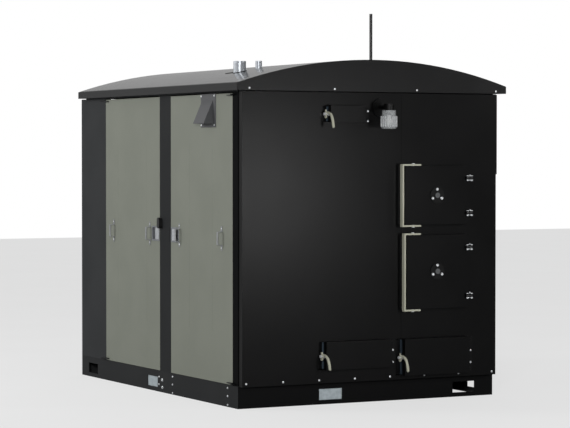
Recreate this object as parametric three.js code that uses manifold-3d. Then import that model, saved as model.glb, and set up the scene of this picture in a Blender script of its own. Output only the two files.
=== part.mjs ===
// Outdoor wood boiler: a sheet-metal cabinet on a fork-lift skid, with two service doors in its left
// wall and, at the front, two heavy firebox doors and three small cleanout doors on welded throats.
// Millimetres: X runs to the right along the front, Y to the back, Z up from the ground.
import * as THREE from "three";
import { mergeVertices } from "three/addons/utils/BufferGeometryUtils.js";
import Module from "manifold-3d";

const wasm = await Module();
wasm.setup();

// ---------------------------------------------------------------------------------------------
// Clearances
const SEAT = 0.3; // gap where two pieces touch
const PLAY = 0.3; // radial and axial play of a pin, hub or lug
const EDGE_GAP = 2; // gap round a panel or a throat

// Cabinet
const BODY_WIDTH = 2130;
const BODY_LENGTH = 2870;
const SHEET = 3;
const POST_DEPTH = 45;
const WALL_TOP = 2246;

// Skid
const RAIL_HEIGHT = 155;
const RAIL_WEB = 6;
const RAIL_FLANGE = 60;
const RAIL_RETURN = 139;
const REAR_RETURN = 100;
const MODULE_SEAM = 1245;
const POCKET = { width: 190, low: 32, high: 112 };
const FRONT_POCKETS = [652, 1781];
const LEFT_POCKETS = [1375, 2541];
const RIGHT_POCKETS = [156, 2541];
const COVER = { lap: 14, thick: 3 };
const PAN_THICK = 5;

// Left wall, front to back
const CORNER_POST_END = 84;
const CENTRE_POST_START = 1133;
const POST_SEAM = 1240;
const CENTRE_POST_END = 1329;
const REAR_PANEL_START = 2368;

// Front skin, and the right wall's two sheets
const TRAY_DEPTH = 55;
const TRAY_LEFT = 5;
const TRAY_BOTTOM = 158;
const TRAY_TOP = 2249;
const TRAY_SEAM = 1303;
const RIGHT_STEP = 8;
const RIGHT_LAP_LOW = 1655;
const RIGHT_LAP = 45;

// Roof
const ROOF = { overhang: 55, low: 2254, eave: 2307, top: 2486, sheet: 4, front: -95, rearInset: 62 };
const SOFFIT = 50;
const GABLE_LIP = 34;
const ROOF_STEPS = 24;

// Pieces through the roof
const FLUE_PIPE = { x: 335, y: 645, radius: 47, wall: 3, above: 78, below: 181 };
const VENT_PIPE = { x: 520, y: 700, radius: 25, wall: 3, above: 52, below: 214 };
const FLOAT_ROD = { x: 1090, y: 20, radius: 11, top: 2824, depth: 160 };

// Service doors and what they carry
const SIDE_DOOR = { low: 163, high: 2237, thick: 40 };
const SIDE_HINGE = { reach: 10, pin: 4.5, eye: 9, plate: 6, tail: 62, low: 168, high: 2232 };
const PULL = { low: 1115, high: 1288, tab: 35, bar: 92, proud: 38, strip: 4, width: 20 };
const PULL_PLACES = [259, 975, 1510, 2203];
const LATCH = { width: 138, low: 1146, height: 112, rim: 9, depth: 24, sheet: 2.5, inset: 3 };
const PADDLE = { width: 62, thick: 3, pin: 2.5, edge: 7 };
const KEY_CAP = { y: 1308, low: 1243, high: 1325, radius: 20, thick: 27 };
const HOOD = { front: 354, rear: 600, low: 1998, top: 2240, sheet: 3 };
const HOOD_COVER = { frontInset: 45, rearInset: 22, fold: 2200, foldWall: 8, mouth: 2025, lip: 6, proud: 76 };

// Front lamp
const LAMP = { x: 1123, z: 2143, plate: 64.5, plateThick: 10, arm: 14, reach: 131 };
const SOCKET = { radius: 38, low: 2121, high: 2168, spigot: 30, spigotLow: 2090 };
const JAR = { radius: 61, neck: 50.5, wall: 5, shoulder: 2081, chamfer: 13, bottom: 1987, facets: 18 };

// Firebox doors with their strap handles and floating hinge links
const LOADING_DOOR = {
  left: 1309, right: 1857, low: 1290, high: 1717,
  hinges: [1630, 1372], pivot: 1379, pad: [1579, 1503],
};
const BURN_DOOR = {
  left: 1325, right: 1857, low: 673, high: 1212,
  hinges: [1120, 760], pivot: 1376, pad: [1582, 945],
};
const FIRE_DOOR = { front: -103, back: -62, inset: 28, plug: 34 };
const THROAT = { inset: 16, wall: 12, front: -57 };
const LINK = { doorPin: 1834, framePin: 1869, y: -120, thick: 10, radius: 9, pin: 6, head: 10, headThick: 5 };
const EAR = { thick: 7, radius: 10 };
const HINGE_PAD = { width: 45, height: 60, thick: 6, stud: 7, studPitch: 30 };
const STRAP = {
  thick: 12, front: -122, back: -88, reach: 33, tail: 54, lift: 3,
  stud: 6.5, y: -99, head: 12, headThick: 6,
};
const PAD = { radius: 59, proud: 7, boss: 20, bossProud: 13 };

// Cleanout doors with their rod latches
const BRUSH_DOOR = {
  left: 691, right: 979, low: 2035, high: 2153, recess: 647,
  head: 648, z: 2092, reach: -150, tip: 2000,
};
const ASH_DOOR_LEFT = {
  left: 657, right: 1196, low: 256, high: 458, recess: 617,
  head: 617, z: 354, reach: -160, tip: 267,
};
const ASH_DOOR_RIGHT = {
  left: 1308, right: 1863, low: 187, high: 454, recess: 1261,
  head: 1268, z: 319, reach: -155, tip: 228,
};
const SMALL_DOOR = { front: -105, back: -63, throat: -61, inset: 6, wall: 6, plug: 26 };
const SMALL_HINGE = { offset: 12, y: -84, radius: 8, pin: 4, lug: 14, ear: 5, fromEnd: 26, flange: 50 };
const SMALL_LATCH = { y: -75, bolt: 6, head: 11, headThick: 7, hub: 10, boss: 14, bossLength: 1.6 };
const ROD = { radius: 10, gap: 2, lean: 8, rise: 9, steps: 6, facets: 8 };
const CAM = { inset: 6, thick: 8, radius: 14, low: 17, tip: 5, high: 27 };
const CATCH = { width: 40, back: -30, thick: 6 };

// Boiler body
const VESSEL = { left: 1262, right: 1890, front: 20, rear: 2300, low: 172, high: 2150 };
const EXCHANGER = { left: 640, right: 1240, front: 20, rear: 2300, low: 172, high: 2190 };
const FOOT = { width: 80, length: 120 };
const LOADING_CHAMBER = { depth: 1100, wall: 36 };
const BURN_CHAMBER = { depth: 1500, wall: 36 };
const ASH_CHAMBER = { depth: 1400 };
const CLEANOUT_DEPTH = 700;
const FLOAT_SLEEVE = { radius: 24, top: 2240, bore: 500 };

// Service compartment
const BLOWER = {
  x: 330, z: 1840, front: 430, depth: 150, radius: 150, tongue: 120,
  wall: 4, inlet: 70, outlet: 120, motor: 75,
};
const SCROLL_STEPS = 20;
const WHEEL = { radius: 96, hub: 22, shaft: 8, blades: 12, blade: 4, bladeRoot: 60, gap: 12 };
const PUMP = { y: 2060, z: 900, body: 70, length: 190, flange: 60, motor: 62 };
const PIPE = { radius: 32, wall: 4, x: 470, elbow: 44, stub: 24, flange: 48, flangeThick: 12 };
const SUPPLY = { z: 1750, y: 2060 };
const CONTROL = { front: 300, rear: 760, low: 900, high: 1420, depth: 130, lid: 4 };

// ---------------------------------------------------------------------------------------------
// Solid modelling helpers
function solidOf(geometry) {
  geometry.deleteAttribute("normal");
  geometry.deleteAttribute("uv");
  const merged = mergeVertices(geometry, 1e-4);
  return new wasm.Manifold(
    new wasm.Mesh({
      numProp: 3,
      vertProperties: new Float32Array(merged.attributes.position.array),
      triVerts: new Uint32Array(merged.index.array),
    }),
  );
}

function box([x0, x1], [y0, y1], [z0, z1]) {
  const geometry = new THREE.BoxGeometry(x1 - x0, y1 - y0, z1 - z0);
  geometry.translate((x0 + x1) / 2, (y0 + y1) / 2, (z0 + z1) / 2);
  return solidOf(geometry);
}

// Planes that an outline is drawn in: X draws (y, z), Y draws (x, z), Z draws (x, y).
const FRAMES = {
  X: new THREE.Matrix4().makeBasis(
    new THREE.Vector3(0, 1, 0), new THREE.Vector3(0, 0, 1), new THREE.Vector3(1, 0, 0)),
  Y: new THREE.Matrix4().makeBasis(
    new THREE.Vector3(1, 0, 0), new THREE.Vector3(0, 0, 1), new THREE.Vector3(0, -1, 0)),
  Z: new THREE.Matrix4(),
};

function shapeOf(outline) {
  if (outline instanceof THREE.Shape) {
    return outline;
  }
  return new THREE.Shape(outline.map(([u, v]) => new THREE.Vector2(u, v)));
}

// three.js draws an arc with two facets for each curve segment.
function prism(axis, outline, [from, to], arcFacets = 12) {
  const geometry = new THREE.ExtrudeGeometry(shapeOf(outline), {
    depth: to - from,
    bevelEnabled: false,
    curveSegments: arcFacets / 2,
  });
  geometry.translate(0, 0, axis === "Y" ? -to : from);
  geometry.applyMatrix4(FRAMES[axis]);
  return solidOf(geometry);
}

function circle(u, v, radius) {
  return new THREE.Shape().absarc(u, v, radius, 0, 2 * Math.PI, false);
}

function cylinder(axis, [u, v], radius, span, segments = 20) {
  return prism(axis, circle(u, v, radius), span, segments);
}

// A hole whose flats clear a round piece of the radius given.
function bore(axis, centre, radius, span, facets = 20) {
  return cylinder(axis, centre, radius / Math.cos(Math.PI / facets), span, facets);
}

// A strip with round ends between two points.
function stadium([u0, v0], [u1, v1], radius) {
  const along = Math.atan2(v1 - v0, u1 - u0);
  const shape = new THREE.Shape();
  shape.absarc(u1, v1, radius, along - Math.PI / 2, along + Math.PI / 2, false);
  shape.absarc(u0, v0, radius, along + Math.PI / 2, along + (3 * Math.PI) / 2, false);
  return shape;
}

function join(first, ...others) {
  return others.reduce((sum, next) => sum.add(next), first);
}

function cut(first, ...tools) {
  return tools.reduce((rest, tool) => rest.subtract(tool), first);
}

function shrink([from, to], by) {
  return [from + by, to - by];
}

// A round rod or pipe swept along a curve.
function sweep(curve, radius, steps, segments = 12) {
  const geometry = new THREE.ExtrudeGeometry(circle(0, 0, radius), {
    steps,
    extrudePath: curve,
    curveSegments: segments / 2,
  });
  return solidOf(geometry);
}

function ball([x, y, z], radius, facets) {
  const geometry = new THREE.SphereGeometry(radius, facets, facets / 2);
  geometry.translate(x, y, z);
  return solidOf(geometry);
}

// ---------------------------------------------------------------------------------------------
// Finishes, one material for each node
const FINISHES = {
  black: { color: 0x1b1c1d, roughness: 0.42, metalness: 0.2 },
  skid: { color: 0x26282a, roughness: 0.55, metalness: 0.2 },
  wall: { color: 0x3c3e40, roughness: 0.5, metalness: 0.2 },
  olive: { color: 0x7d7f73, roughness: 0.5, metalness: 0.15 },
  strap: { color: 0x8f8f7e, roughness: 0.45, metalness: 0.3 },
  galvanised: { color: 0xb0babf, roughness: 0.4, metalness: 0.8 },
  steel: { color: 0xa9acae, roughness: 0.3, metalness: 0.9 },
  roof: { color: 0x1e2022, roughness: 0.25, metalness: 0.3 },
  glass: { color: 0xd5dadb, roughness: 0.1, metalness: 0.0 },
  firebox: { color: 0x2c2a28, roughness: 0.7, metalness: 0.4 },
  plastic: { color: 0x17181a, roughness: 0.5, metalness: 0.0 },
  pump: { color: 0x2f5d50, roughness: 0.45, metalness: 0.2 },
  box: { color: 0x8d9194, roughness: 0.45, metalness: 0.2 },
};

const boiler = new THREE.Group();

function part(name, finish, solid) {
  const mesh = solid.getMesh();
  const geometry = new THREE.BufferGeometry();
  geometry.setAttribute("position", new THREE.BufferAttribute(mesh.vertProperties, 3));
  geometry.setIndex(new THREE.BufferAttribute(mesh.triVerts, 1));
  const flat = geometry.toNonIndexed();
  flat.computeVertexNormals();
  const node = new THREE.Mesh(flat, new THREE.MeshStandardMaterial(FINISHES[finish]));
  node.name = name;
  boiler.add(node);
}

// ---------------------------------------------------------------------------------------------
// Skid: channel rails with fork pockets, and the floor pan on top
function channel(webAt, inward) {
  const tip = webAt + inward * RAIL_FLANGE;
  const web = webAt + inward * RAIL_WEB;
  const outline = [
    [webAt, 0], [tip, 0], [tip, RAIL_WEB], [web, RAIL_WEB],
    [web, RAIL_HEIGHT - RAIL_WEB], [tip, RAIL_HEIGHT - RAIL_WEB], [tip, RAIL_HEIGHT], [webAt, RAIL_HEIGHT],
  ];
  return inward > 0 ? outline : outline.reverse();
}

function pocketHeights() {
  return [POCKET.low, POCKET.high];
}

function crossRail(webAt, inward, returnLength) {
  const holes = FRONT_POCKETS.map((start) =>
    box([start, start + POCKET.width], [webAt - RAIL_FLANGE, webAt + RAIL_FLANGE], pocketHeights()));
  const ends = [0, inward * returnLength].map((step) => webAt + step).sort((a, b) => a - b);
  return cut(
    join(
      prism("X", channel(webAt, inward), [0, BODY_WIDTH]),
      prism("Y", channel(0, 1), ends),
      prism("Y", channel(BODY_WIDTH, -1), ends),
    ),
    ...holes,
  );
}

function sideRail(webAt, inward, span, pockets) {
  const holes = pockets.map((start) =>
    box([webAt - RAIL_FLANGE, webAt + RAIL_FLANGE], [start, start + POCKET.width], pocketHeights()));
  return cut(prism("Y", channel(webAt, inward), span), ...holes);
}

const railStart = RAIL_RETURN + SEAT;
const railEnd = BODY_LENGTH - REAR_RETURN - SEAT;
part("skid_front_rail", "skid", crossRail(0, 1, RAIL_RETURN));
part("skid_rear_rail", "skid", crossRail(BODY_LENGTH, -1, REAR_RETURN));
part("skid_left_rail_front", "skid", sideRail(0, 1, [railStart, MODULE_SEAM - SEAT / 2], []));
part("skid_left_rail_rear", "skid", sideRail(0, 1, [MODULE_SEAM + SEAT / 2, railEnd], LEFT_POCKETS));
part("skid_right_rail", "skid", sideRail(BODY_WIDTH, -1, [railStart, railEnd], RIGHT_POCKETS));

const coverSpan = [RAIL_WEB + SEAT, RAIL_WEB + SEAT + COVER.thick];
const coverHeights = [POCKET.low - COVER.lap, POCKET.high + COVER.lap];
function coverWidths(start) {
  return [start - COVER.lap, start + POCKET.width + COVER.lap];
}
part("fork_cover_front", "galvanised", box(coverWidths(FRONT_POCKETS[0]), coverSpan, coverHeights));
part("fork_cover_left", "galvanised", box(coverSpan, coverWidths(LEFT_POCKETS[0]), coverHeights));

const lowerRight = BODY_WIDTH - RIGHT_STEP;
const panTop = RAIL_HEIGHT + SEAT + PAN_THICK;
part("floor_pan", "skid", box([0, lowerRight], [0, BODY_LENGTH], [RAIL_HEIGHT + SEAT, panTop]));

// ---------------------------------------------------------------------------------------------
// Left wall: posts, rear panel and the header rail over the doors
const standing = panTop + SEAT;

function postOutline(start, end) {
  return [
    [0, start], [POST_DEPTH, start], [POST_DEPTH, start + SHEET], [SHEET, start + SHEET],
    [SHEET, end - SHEET], [POST_DEPTH, end - SHEET], [POST_DEPTH, end], [0, end],
  ];
}

function post(start, end) {
  return prism("Z", postOutline(start, end), [standing, WALL_TOP]);
}

// One plate of a pivot hinge outside the wall's face: an eye round the pin and a tail on the wall.
function hingePlate(axisY, tailTo, heights, hole) {
  const eye = cylinder("Z", [-SIDE_HINGE.reach, axisY], SIDE_HINGE.eye, heights);
  const [y0, y1] = [axisY, tailTo].sort((a, b) => a - b);
  const tail = box([-SIDE_HINGE.reach - SIDE_HINGE.eye, 0], [y0, y1], heights);
  const plate = join(eye, tail);
  const through = [heights[0] - 1, heights[1] + 1];
  return hole ? cut(plate, bore("Z", [-SIDE_HINGE.reach, axisY], hole, through, 12)) : plate;
}

function pivot(axisY, radius, heights) {
  return cylinder("Z", [-SIDE_HINGE.reach, axisY], radius, heights, 12);
}

const plateHeights = {
  postLow: [SIDE_HINGE.low, SIDE_HINGE.low + SIDE_HINGE.plate],
  doorLow: [SIDE_HINGE.low + SIDE_HINGE.plate + PLAY, SIDE_HINGE.low + 2 * SIDE_HINGE.plate + PLAY],
  doorHigh: [SIDE_HINGE.high - 2 * SIDE_HINGE.plate - PLAY, SIDE_HINGE.high - SIDE_HINGE.plate - PLAY],
  postHigh: [SIDE_HINGE.high - SIDE_HINGE.plate, SIDE_HINGE.high],
};

// The post's two hinge plates, each with its pin; the tail lies on the post beside the door.
function postHinges(axisY, tailTo) {
  return join(
    hingePlate(axisY, tailTo, plateHeights.postLow),
    hingePlate(axisY, tailTo, plateHeights.postHigh),
    pivot(axisY, SIDE_HINGE.pin, [plateHeights.postLow[0], plateHeights.doorLow[1] + PLAY]),
    pivot(axisY, SIDE_HINGE.pin, [plateHeights.doorHigh[0] - PLAY, plateHeights.postHigh[1]]),
  );
}

const frontAxisY = CORNER_POST_END;
const rearAxisY = REAR_PANEL_START;
part("corner_post", "wall",
  join(post(0, CORNER_POST_END), postHinges(frontAxisY, frontAxisY - SIDE_HINGE.tail)));
part("centre_post_front", "wall", post(CENTRE_POST_START, POST_SEAM - SEAT / 2));
part("centre_post_rear", "wall", post(POST_SEAM + SEAT / 2, CENTRE_POST_END));
part("rear_left_panel", "wall",
  join(
    box([0, SHEET], [REAR_PANEL_START, BODY_LENGTH], [standing, WALL_TOP]),
    box([0, POST_DEPTH], [REAR_PANEL_START, REAR_PANEL_START + SHEET], [standing, WALL_TOP]),
    postHinges(rearAxisY, rearAxisY + SIDE_HINGE.tail),
  ));

// ---------------------------------------------------------------------------------------------
// Roof: a curved sheet with fascias, and the two gable plates under it
const roofLeft = -ROOF.overhang;
const roofRight = BODY_WIDTH + ROOF.overhang;
const roofMid = BODY_WIDTH / 2;
const roofRise = ROOF.top - ROOF.eave;
const roofHalf = (roofRight - roofLeft) / 2;
const roofRear = BODY_LENGTH - ROOF.rearInset;
const roofRadius = (roofHalf ** 2 + roofRise ** 2) / (2 * roofRise);

function roofHeight(x, inset) {
  const radius = roofRadius - inset;
  return ROOF.top - roofRadius + Math.sqrt(radius ** 2 - (x - roofMid) ** 2);
}

function roofArc(from, to, inset) {
  const points = [];
  for (let i = 0; i <= ROOF_STEPS; i += 1) {
    const x = from + ((to - from) * i) / ROOF_STEPS;
    points.push([x, roofHeight(x, inset)]);
  }
  return points;
}

const innerLeft = roofLeft + ROOF.sheet;
const innerRight = roofRight - ROOF.sheet;
const roofOutline = [
  ...roofArc(roofRight, roofLeft, 0),
  [roofLeft, ROOF.low], [roofLeft + SOFFIT, ROOF.low],
  [roofLeft + SOFFIT, ROOF.low + ROOF.sheet], [innerLeft, ROOF.low + ROOF.sheet],
  ...roofArc(innerLeft, innerRight, ROOF.sheet),
  [innerRight, ROOF.low + ROOF.sheet], [roofRight - SOFFIT, ROOF.low + ROOF.sheet],
  [roofRight - SOFFIT, ROOF.low], [roofRight, ROOF.low],
];
const gableSpan = ROOF.sheet + SEAT;
function roofHole(piece, clearance) {
  return bore("Z", [piece.x, piece.y], piece.radius + clearance, [ROOF.low, ROOF.top + 1]);
}
part("roof", "roof",
  cut(
    prism("Y", roofOutline, [ROOF.front, roofRear]),
    roofHole(FLUE_PIPE, SEAT),
    roofHole(VENT_PIPE, SEAT),
    roofHole(FLOAT_ROD, PLAY),
  ));

const gableOutline = [
  [innerRight - SEAT, ROOF.low + gableSpan],
  ...roofArc(innerRight - SEAT, innerLeft + SEAT, gableSpan),
  [innerLeft + SEAT, ROOF.low + gableSpan],
  [roofLeft + SOFFIT + SEAT, ROOF.low + gableSpan], [roofLeft + SOFFIT + SEAT, ROOF.low],
  [roofRight - SOFFIT - SEAT, ROOF.low], [roofRight - SOFFIT - SEAT, ROOF.low + gableSpan],
];
function gable(faceAt, inward) {
  const plate = [faceAt, faceAt + inward * SHEET].sort((a, b) => a - b);
  const lip = [faceAt, faceAt + inward * GABLE_LIP].sort((a, b) => a - b);
  return join(
    prism("Y", gableOutline, plate),
    box([roofLeft + SOFFIT + SEAT, roofRight - SOFFIT - SEAT], lip, [ROOF.low, ROOF.low + SHEET]),
  );
}
part("front_gable", "black", gable(ROOF.front, 1));
part("rear_gable", "black", gable(roofRear, -1));

// A second seat lets the header and the right wall pass under the flats of the roof's curve.
const headerTop = roofHeight(0, gableSpan + SEAT);
const headerLow = WALL_TOP + SEAT;
const headerEnds = [0, roofRear - GABLE_LIP - SEAT];
part("side_header", "wall",
  prism("Y",
    [
      [0, headerLow], [POST_DEPTH, headerLow], [POST_DEPTH, headerLow + SHEET],
      [SHEET, headerLow + SHEET], [SHEET, headerTop], [0, headerTop],
    ],
    headerEnds));

function roofPipe(pipe) {
  const centre = [pipe.x, pipe.y];
  const roofAt = roofHeight(pipe.x, 0);
  const span = [roofAt - pipe.below, roofAt + pipe.above];
  return cut(
    cylinder("Z", centre, pipe.radius, span),
    cylinder("Z", centre, pipe.radius - pipe.wall, shrink(span, -1)),
  );
}
part("flue_pipe", "steel", roofPipe(FLUE_PIPE));
part("vent_pipe", "steel", roofPipe(VENT_PIPE));

// ---------------------------------------------------------------------------------------------
// Throats: the welded tubes that carry the doors through the front skin
const faceY = -TRAY_DEPTH;
const outerFace = faceY - SEAT;
const smallDoors = [BRUSH_DOOR, ASH_DOOR_LEFT, ASH_DOOR_RIGHT];
const fireDoors = [LOADING_DOOR, BURN_DOOR];

function throatSize(door, inset) {
  return {
    x: [door.left + inset, door.right - inset],
    z: [door.low + inset, door.high - inset],
  };
}

function throatTube(door, inset, frontY, backY) {
  const outer = throatSize(door, inset);
  return box(outer.x, [frontY, backY], outer.z);
}

function throatBore(door, inset, wall, frontY, backY) {
  const outer = throatSize(door, inset);
  return box(shrink(outer.x, wall), [frontY - 1, backY], shrink(outer.z, wall));
}

function throatOpening(door, inset) {
  const outer = throatSize(door, inset);
  return box(shrink(outer.x, -EDGE_GAP), [faceY - 1, 1], shrink(outer.z, -EDGE_GAP));
}

// Holes of the front skin, cut in both sheets
function hingeStuds(door) {
  const x = LINK.framePin + HINGE_PAD.width / 2;
  return door.hinges.flatMap((z) =>
    [-1, 1].map((side) => [x, z + (side * HINGE_PAD.studPitch) / 2]));
}

function skinHoles() {
  const holes = fireDoors.map((door) => throatOpening(door, THROAT.inset));
  for (const door of fireDoors) {
    for (const centre of hingeStuds(door)) {
      holes.push(bore("Y", centre, HINGE_PAD.stud + SEAT, [faceY - 1, 1], 8));
    }
  }
  for (const door of smallDoors) {
    const outer = throatSize(door, SMALL_DOOR.inset);
    holes.push(box([door.recess, outer.x[1] + EDGE_GAP], [faceY - 1, 1], [door.low, door.high]));
  }
  return holes;
}

function tray(x0, x1) {
  const z0 = TRAY_BOTTOM;
  const z1 = TRAY_TOP;
  const shell = cut(
    box([x0, x1], [faceY, -SEAT], [z0, z1]),
    box([x0 + SHEET, x1 - SHEET], [faceY + SHEET, 1], [z0 + SHEET, z1 - SHEET]),
  );
  return cut(shell, ...skinHoles());
}
part("front_sheet_left", "black", tray(TRAY_LEFT, TRAY_SEAM - SEAT / 2));
part("front_sheet_right", "black", tray(TRAY_SEAM + SEAT / 2, lowerRight));

// ---------------------------------------------------------------------------------------------
// Right and rear walls
const lapTop = RIGHT_LAP_LOW + RIGHT_LAP;
part("right_wall_lower", "black",
  join(
    box([lowerRight - SHEET, lowerRight], [0, BODY_LENGTH], [standing, lapTop]),
    box([lowerRight - POST_DEPTH, lowerRight], [0, SHEET], [standing, lapTop]),
  ));
part("right_wall_upper", "black",
  join(
    box([BODY_WIDTH - SHEET, BODY_WIDTH], [faceY, BODY_LENGTH], [RIGHT_LAP_LOW, WALL_TOP]),
    box([BODY_WIDTH - SHEET, BODY_WIDTH], headerEnds, [WALL_TOP - SHEET, headerTop]),
    box([lowerRight + SEAT, BODY_WIDTH], [faceY, faceY + SHEET], [RIGHT_LAP_LOW, WALL_TOP]),
    box([lowerRight + SEAT, BODY_WIDTH], [faceY, BODY_LENGTH], [RIGHT_LAP_LOW, RIGHT_LAP_LOW + SHEET]),
  ));

const stubs = [SUPPLY, { z: PUMP.z, y: PUMP.y }];
const rearInner = lowerRight - SHEET - SEAT;
part("rear_wall", "black",
  cut(
    box([SHEET + SEAT, rearInner], [BODY_LENGTH - TRAY_DEPTH, BODY_LENGTH], [standing, TRAY_TOP]),
    box([2 * SHEET + SEAT, rearInner - SHEET], [BODY_LENGTH - TRAY_DEPTH - 1, BODY_LENGTH - SHEET],
      [standing + SHEET, TRAY_TOP - SHEET]),
    ...stubs.map(({ z }) =>
      bore("Y", [PIPE.x, z], PIPE.radius + SEAT, [BODY_LENGTH - SHEET - 1, BODY_LENGTH + 1])),
  ));

// ---------------------------------------------------------------------------------------------
// Service doors: hollow leaves that swing on the pivot plates
const latchCentreZ = LATCH.low + LATCH.height / 2;

function sideDoor(span, latchSpan, hingeY, tailTo) {
  const heights = [SIDE_DOOR.low, SIDE_DOOR.high];
  const leaf = cut(
    box([0, SIDE_DOOR.thick], span, heights),
    box([SHEET, SIDE_DOOR.thick + 1], shrink(span, SHEET), shrink(heights, SHEET)),
    box([-1, SHEET + 1], shrink(latchSpan, LATCH.rim - SEAT),
      [LATCH.low + LATCH.rim - SEAT, LATCH.low + LATCH.height - LATCH.rim + SEAT]),
  );
  const hole = SIDE_HINGE.pin + PLAY;
  return join(
    leaf,
    hingePlate(hingeY, tailTo, plateHeights.doorLow, hole),
    hingePlate(hingeY, tailTo, plateHeights.doorHigh, hole),
  );
}

const frontDoorSpan = [CORNER_POST_END + EDGE_GAP, CENTRE_POST_START - EDGE_GAP - 1];
const rearDoorSpan = [CENTRE_POST_END + EDGE_GAP + 1, REAR_PANEL_START - EDGE_GAP];
const frontLatchSpan = [frontDoorSpan[1] - LATCH.inset - LATCH.width, frontDoorSpan[1] - LATCH.inset];
const rearLatchSpan = [rearDoorSpan[0] + LATCH.inset, rearDoorSpan[0] + LATCH.inset + LATCH.width];
part("side_door_front", "olive",
  sideDoor(frontDoorSpan, frontLatchSpan, frontAxisY, frontAxisY + SIDE_HINGE.tail));
part("side_door_rear", "olive",
  sideDoor(rearDoorSpan, rearLatchSpan, rearAxisY, rearAxisY - SIDE_HINGE.tail));

// Trapezoid pulls: a bent strip with a flat tab at each end
const pullMid = (PULL.low + PULL.high) / 2;
function pullOutline() {
  const near = -SEAT;
  const skin = -SEAT - PULL.strip;
  const far = -SEAT - PULL.proud;
  const barHalf = PULL.bar / 2;
  const half = (PULL.high - PULL.low) / 2;
  const side = [
    [skin, half], [skin, half - PULL.tab], [far, barHalf], [far, -barHalf],
    [skin, PULL.tab - half], [skin, -half], [near, -half], [near, PULL.tab - half + PULL.strip],
    [far + PULL.strip, PULL.strip - barHalf], [far + PULL.strip, barHalf - PULL.strip],
    [near, half - PULL.tab - PULL.strip], [near, half],
  ];
  return side.map(([x, z]) => [x, z + pullMid]);
}
PULL_PLACES.forEach((y, i) => {
  const span = [y - PULL.width / 2, y + PULL.width / 2];
  part(`door_pull_${i + 1}`, "olive", prism("Y", pullOutline(), span));
});

// Latches: a pressed tray in the leaf and a paddle plate hinged at its post side
const trayBack = LATCH.depth;
const paddlePinX = PADDLE.thick / 2;

function latchTray(span, postSide) {
  const heights = [LATCH.low, LATCH.low + LATCH.height];
  const cupSpan = shrink(span, LATCH.rim);
  const cupHeights = shrink(heights, LATCH.rim);
  const rim = box([-SEAT - LATCH.sheet, -SEAT], span, heights);
  const cup = box([-SEAT - LATCH.sheet, trayBack], cupSpan, cupHeights);
  const bowl = box([-SEAT - LATCH.sheet - 1, trayBack - LATCH.sheet],
    shrink(cupSpan, LATCH.sheet), shrink(cupHeights, LATCH.sheet));
  const pin = bore("Z", [paddlePinX, paddleAxis(span, postSide)], PADDLE.pin + PLAY,
    [cupHeights[0] - 1, cupHeights[1] + 1], 12);
  return cut(join(rim, cup), bowl, pin);
}

function paddleAxis(span, postSide) {
  const edge = postSide > 0 ? span[1] : span[0];
  return edge - postSide * (LATCH.rim + LATCH.sheet + PADDLE.edge);
}

function paddle(span, postSide) {
  const axis = paddleAxis(span, postSide);
  const heights = shrink([LATCH.low, LATCH.low + LATCH.height], LATCH.rim + LATCH.sheet + PLAY);
  const plate = [axis, axis - postSide * PADDLE.width].sort((a, b) => a - b);
  return join(
    box([0, PADDLE.thick], plate, heights),
    cylinder("Z", [paddlePinX, axis], PADDLE.pin + 1, heights, 16),
    cylinder("Z", [paddlePinX, axis], PADDLE.pin,
      shrink(heights, -PLAY - LATCH.sheet), 12),
  );
}
part("latch_tray_front", "steel", latchTray(frontLatchSpan, 1));
part("latch_tray_rear", "steel", latchTray(rearLatchSpan, -1));
part("latch_paddle_front", "steel", paddle(frontLatchSpan, 1));
part("latch_paddle_rear", "steel", paddle(rearLatchSpan, -1));

const capEnds = shrink([KEY_CAP.low, KEY_CAP.high], KEY_CAP.radius).map((z) => [KEY_CAP.y, z]);
part("key_cap", "plastic",
  prism("X", stadium(...capEnds, KEY_CAP.radius), [-SEAT - KEY_CAP.thick, -SEAT]));

// Vent hood: a flat flange on the leaf and a sloped cover that is open below
function hoodProfile(foldAt, mouthAt, frontAt) {
  return [
    [-SEAT, foldAt], [-SEAT, mouthAt],
    [frontAt, mouthAt], [frontAt, HOOD_COVER.mouth + HOOD_COVER.lip],
  ];
}

function ventHood() {
  const flange = box([-SEAT - HOOD.sheet, -SEAT], [HOOD.front, HOOD.rear], [HOOD.low, HOOD.top]);
  const span = [HOOD.front + HOOD_COVER.frontInset, HOOD.rear - HOOD_COVER.rearInset];
  const { fold, foldWall, mouth, proud } = HOOD_COVER;
  const cover = prism("Y", hoodProfile(fold, mouth, -proud), span);
  const hollow = hoodProfile(fold - foldWall, mouth - 1, HOOD.sheet - proud);
  const inside = prism("Y", hollow, shrink(span, HOOD.sheet));
  return join(flange, cut(cover, inside));
}
part("vent_hood", "black", ventHood());

// ---------------------------------------------------------------------------------------------
// Lamp: round back plate, arm, socket and a stepped jar that hangs on the socket's spigot
const plateFront = outerFace - LAMP.plateThick;
const jarCentre = [LAMP.x, faceY - LAMP.reach];
const socketMid = (SOCKET.low + SOCKET.high) / 2;
part("lamp_base", "black",
  join(
    cylinder("Y", [LAMP.x, LAMP.z], LAMP.plate, [plateFront, outerFace], 24),
    cylinder("Y", [LAMP.x, socketMid], LAMP.arm, [jarCentre[1], plateFront + 1], 10),
    cylinder("Z", jarCentre, SOCKET.radius, [SOCKET.low, SOCKET.high], 20),
    cylinder("Z", jarCentre, SOCKET.spigot, [SOCKET.spigotLow, SOCKET.low + 1], 16),
  ));

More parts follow.
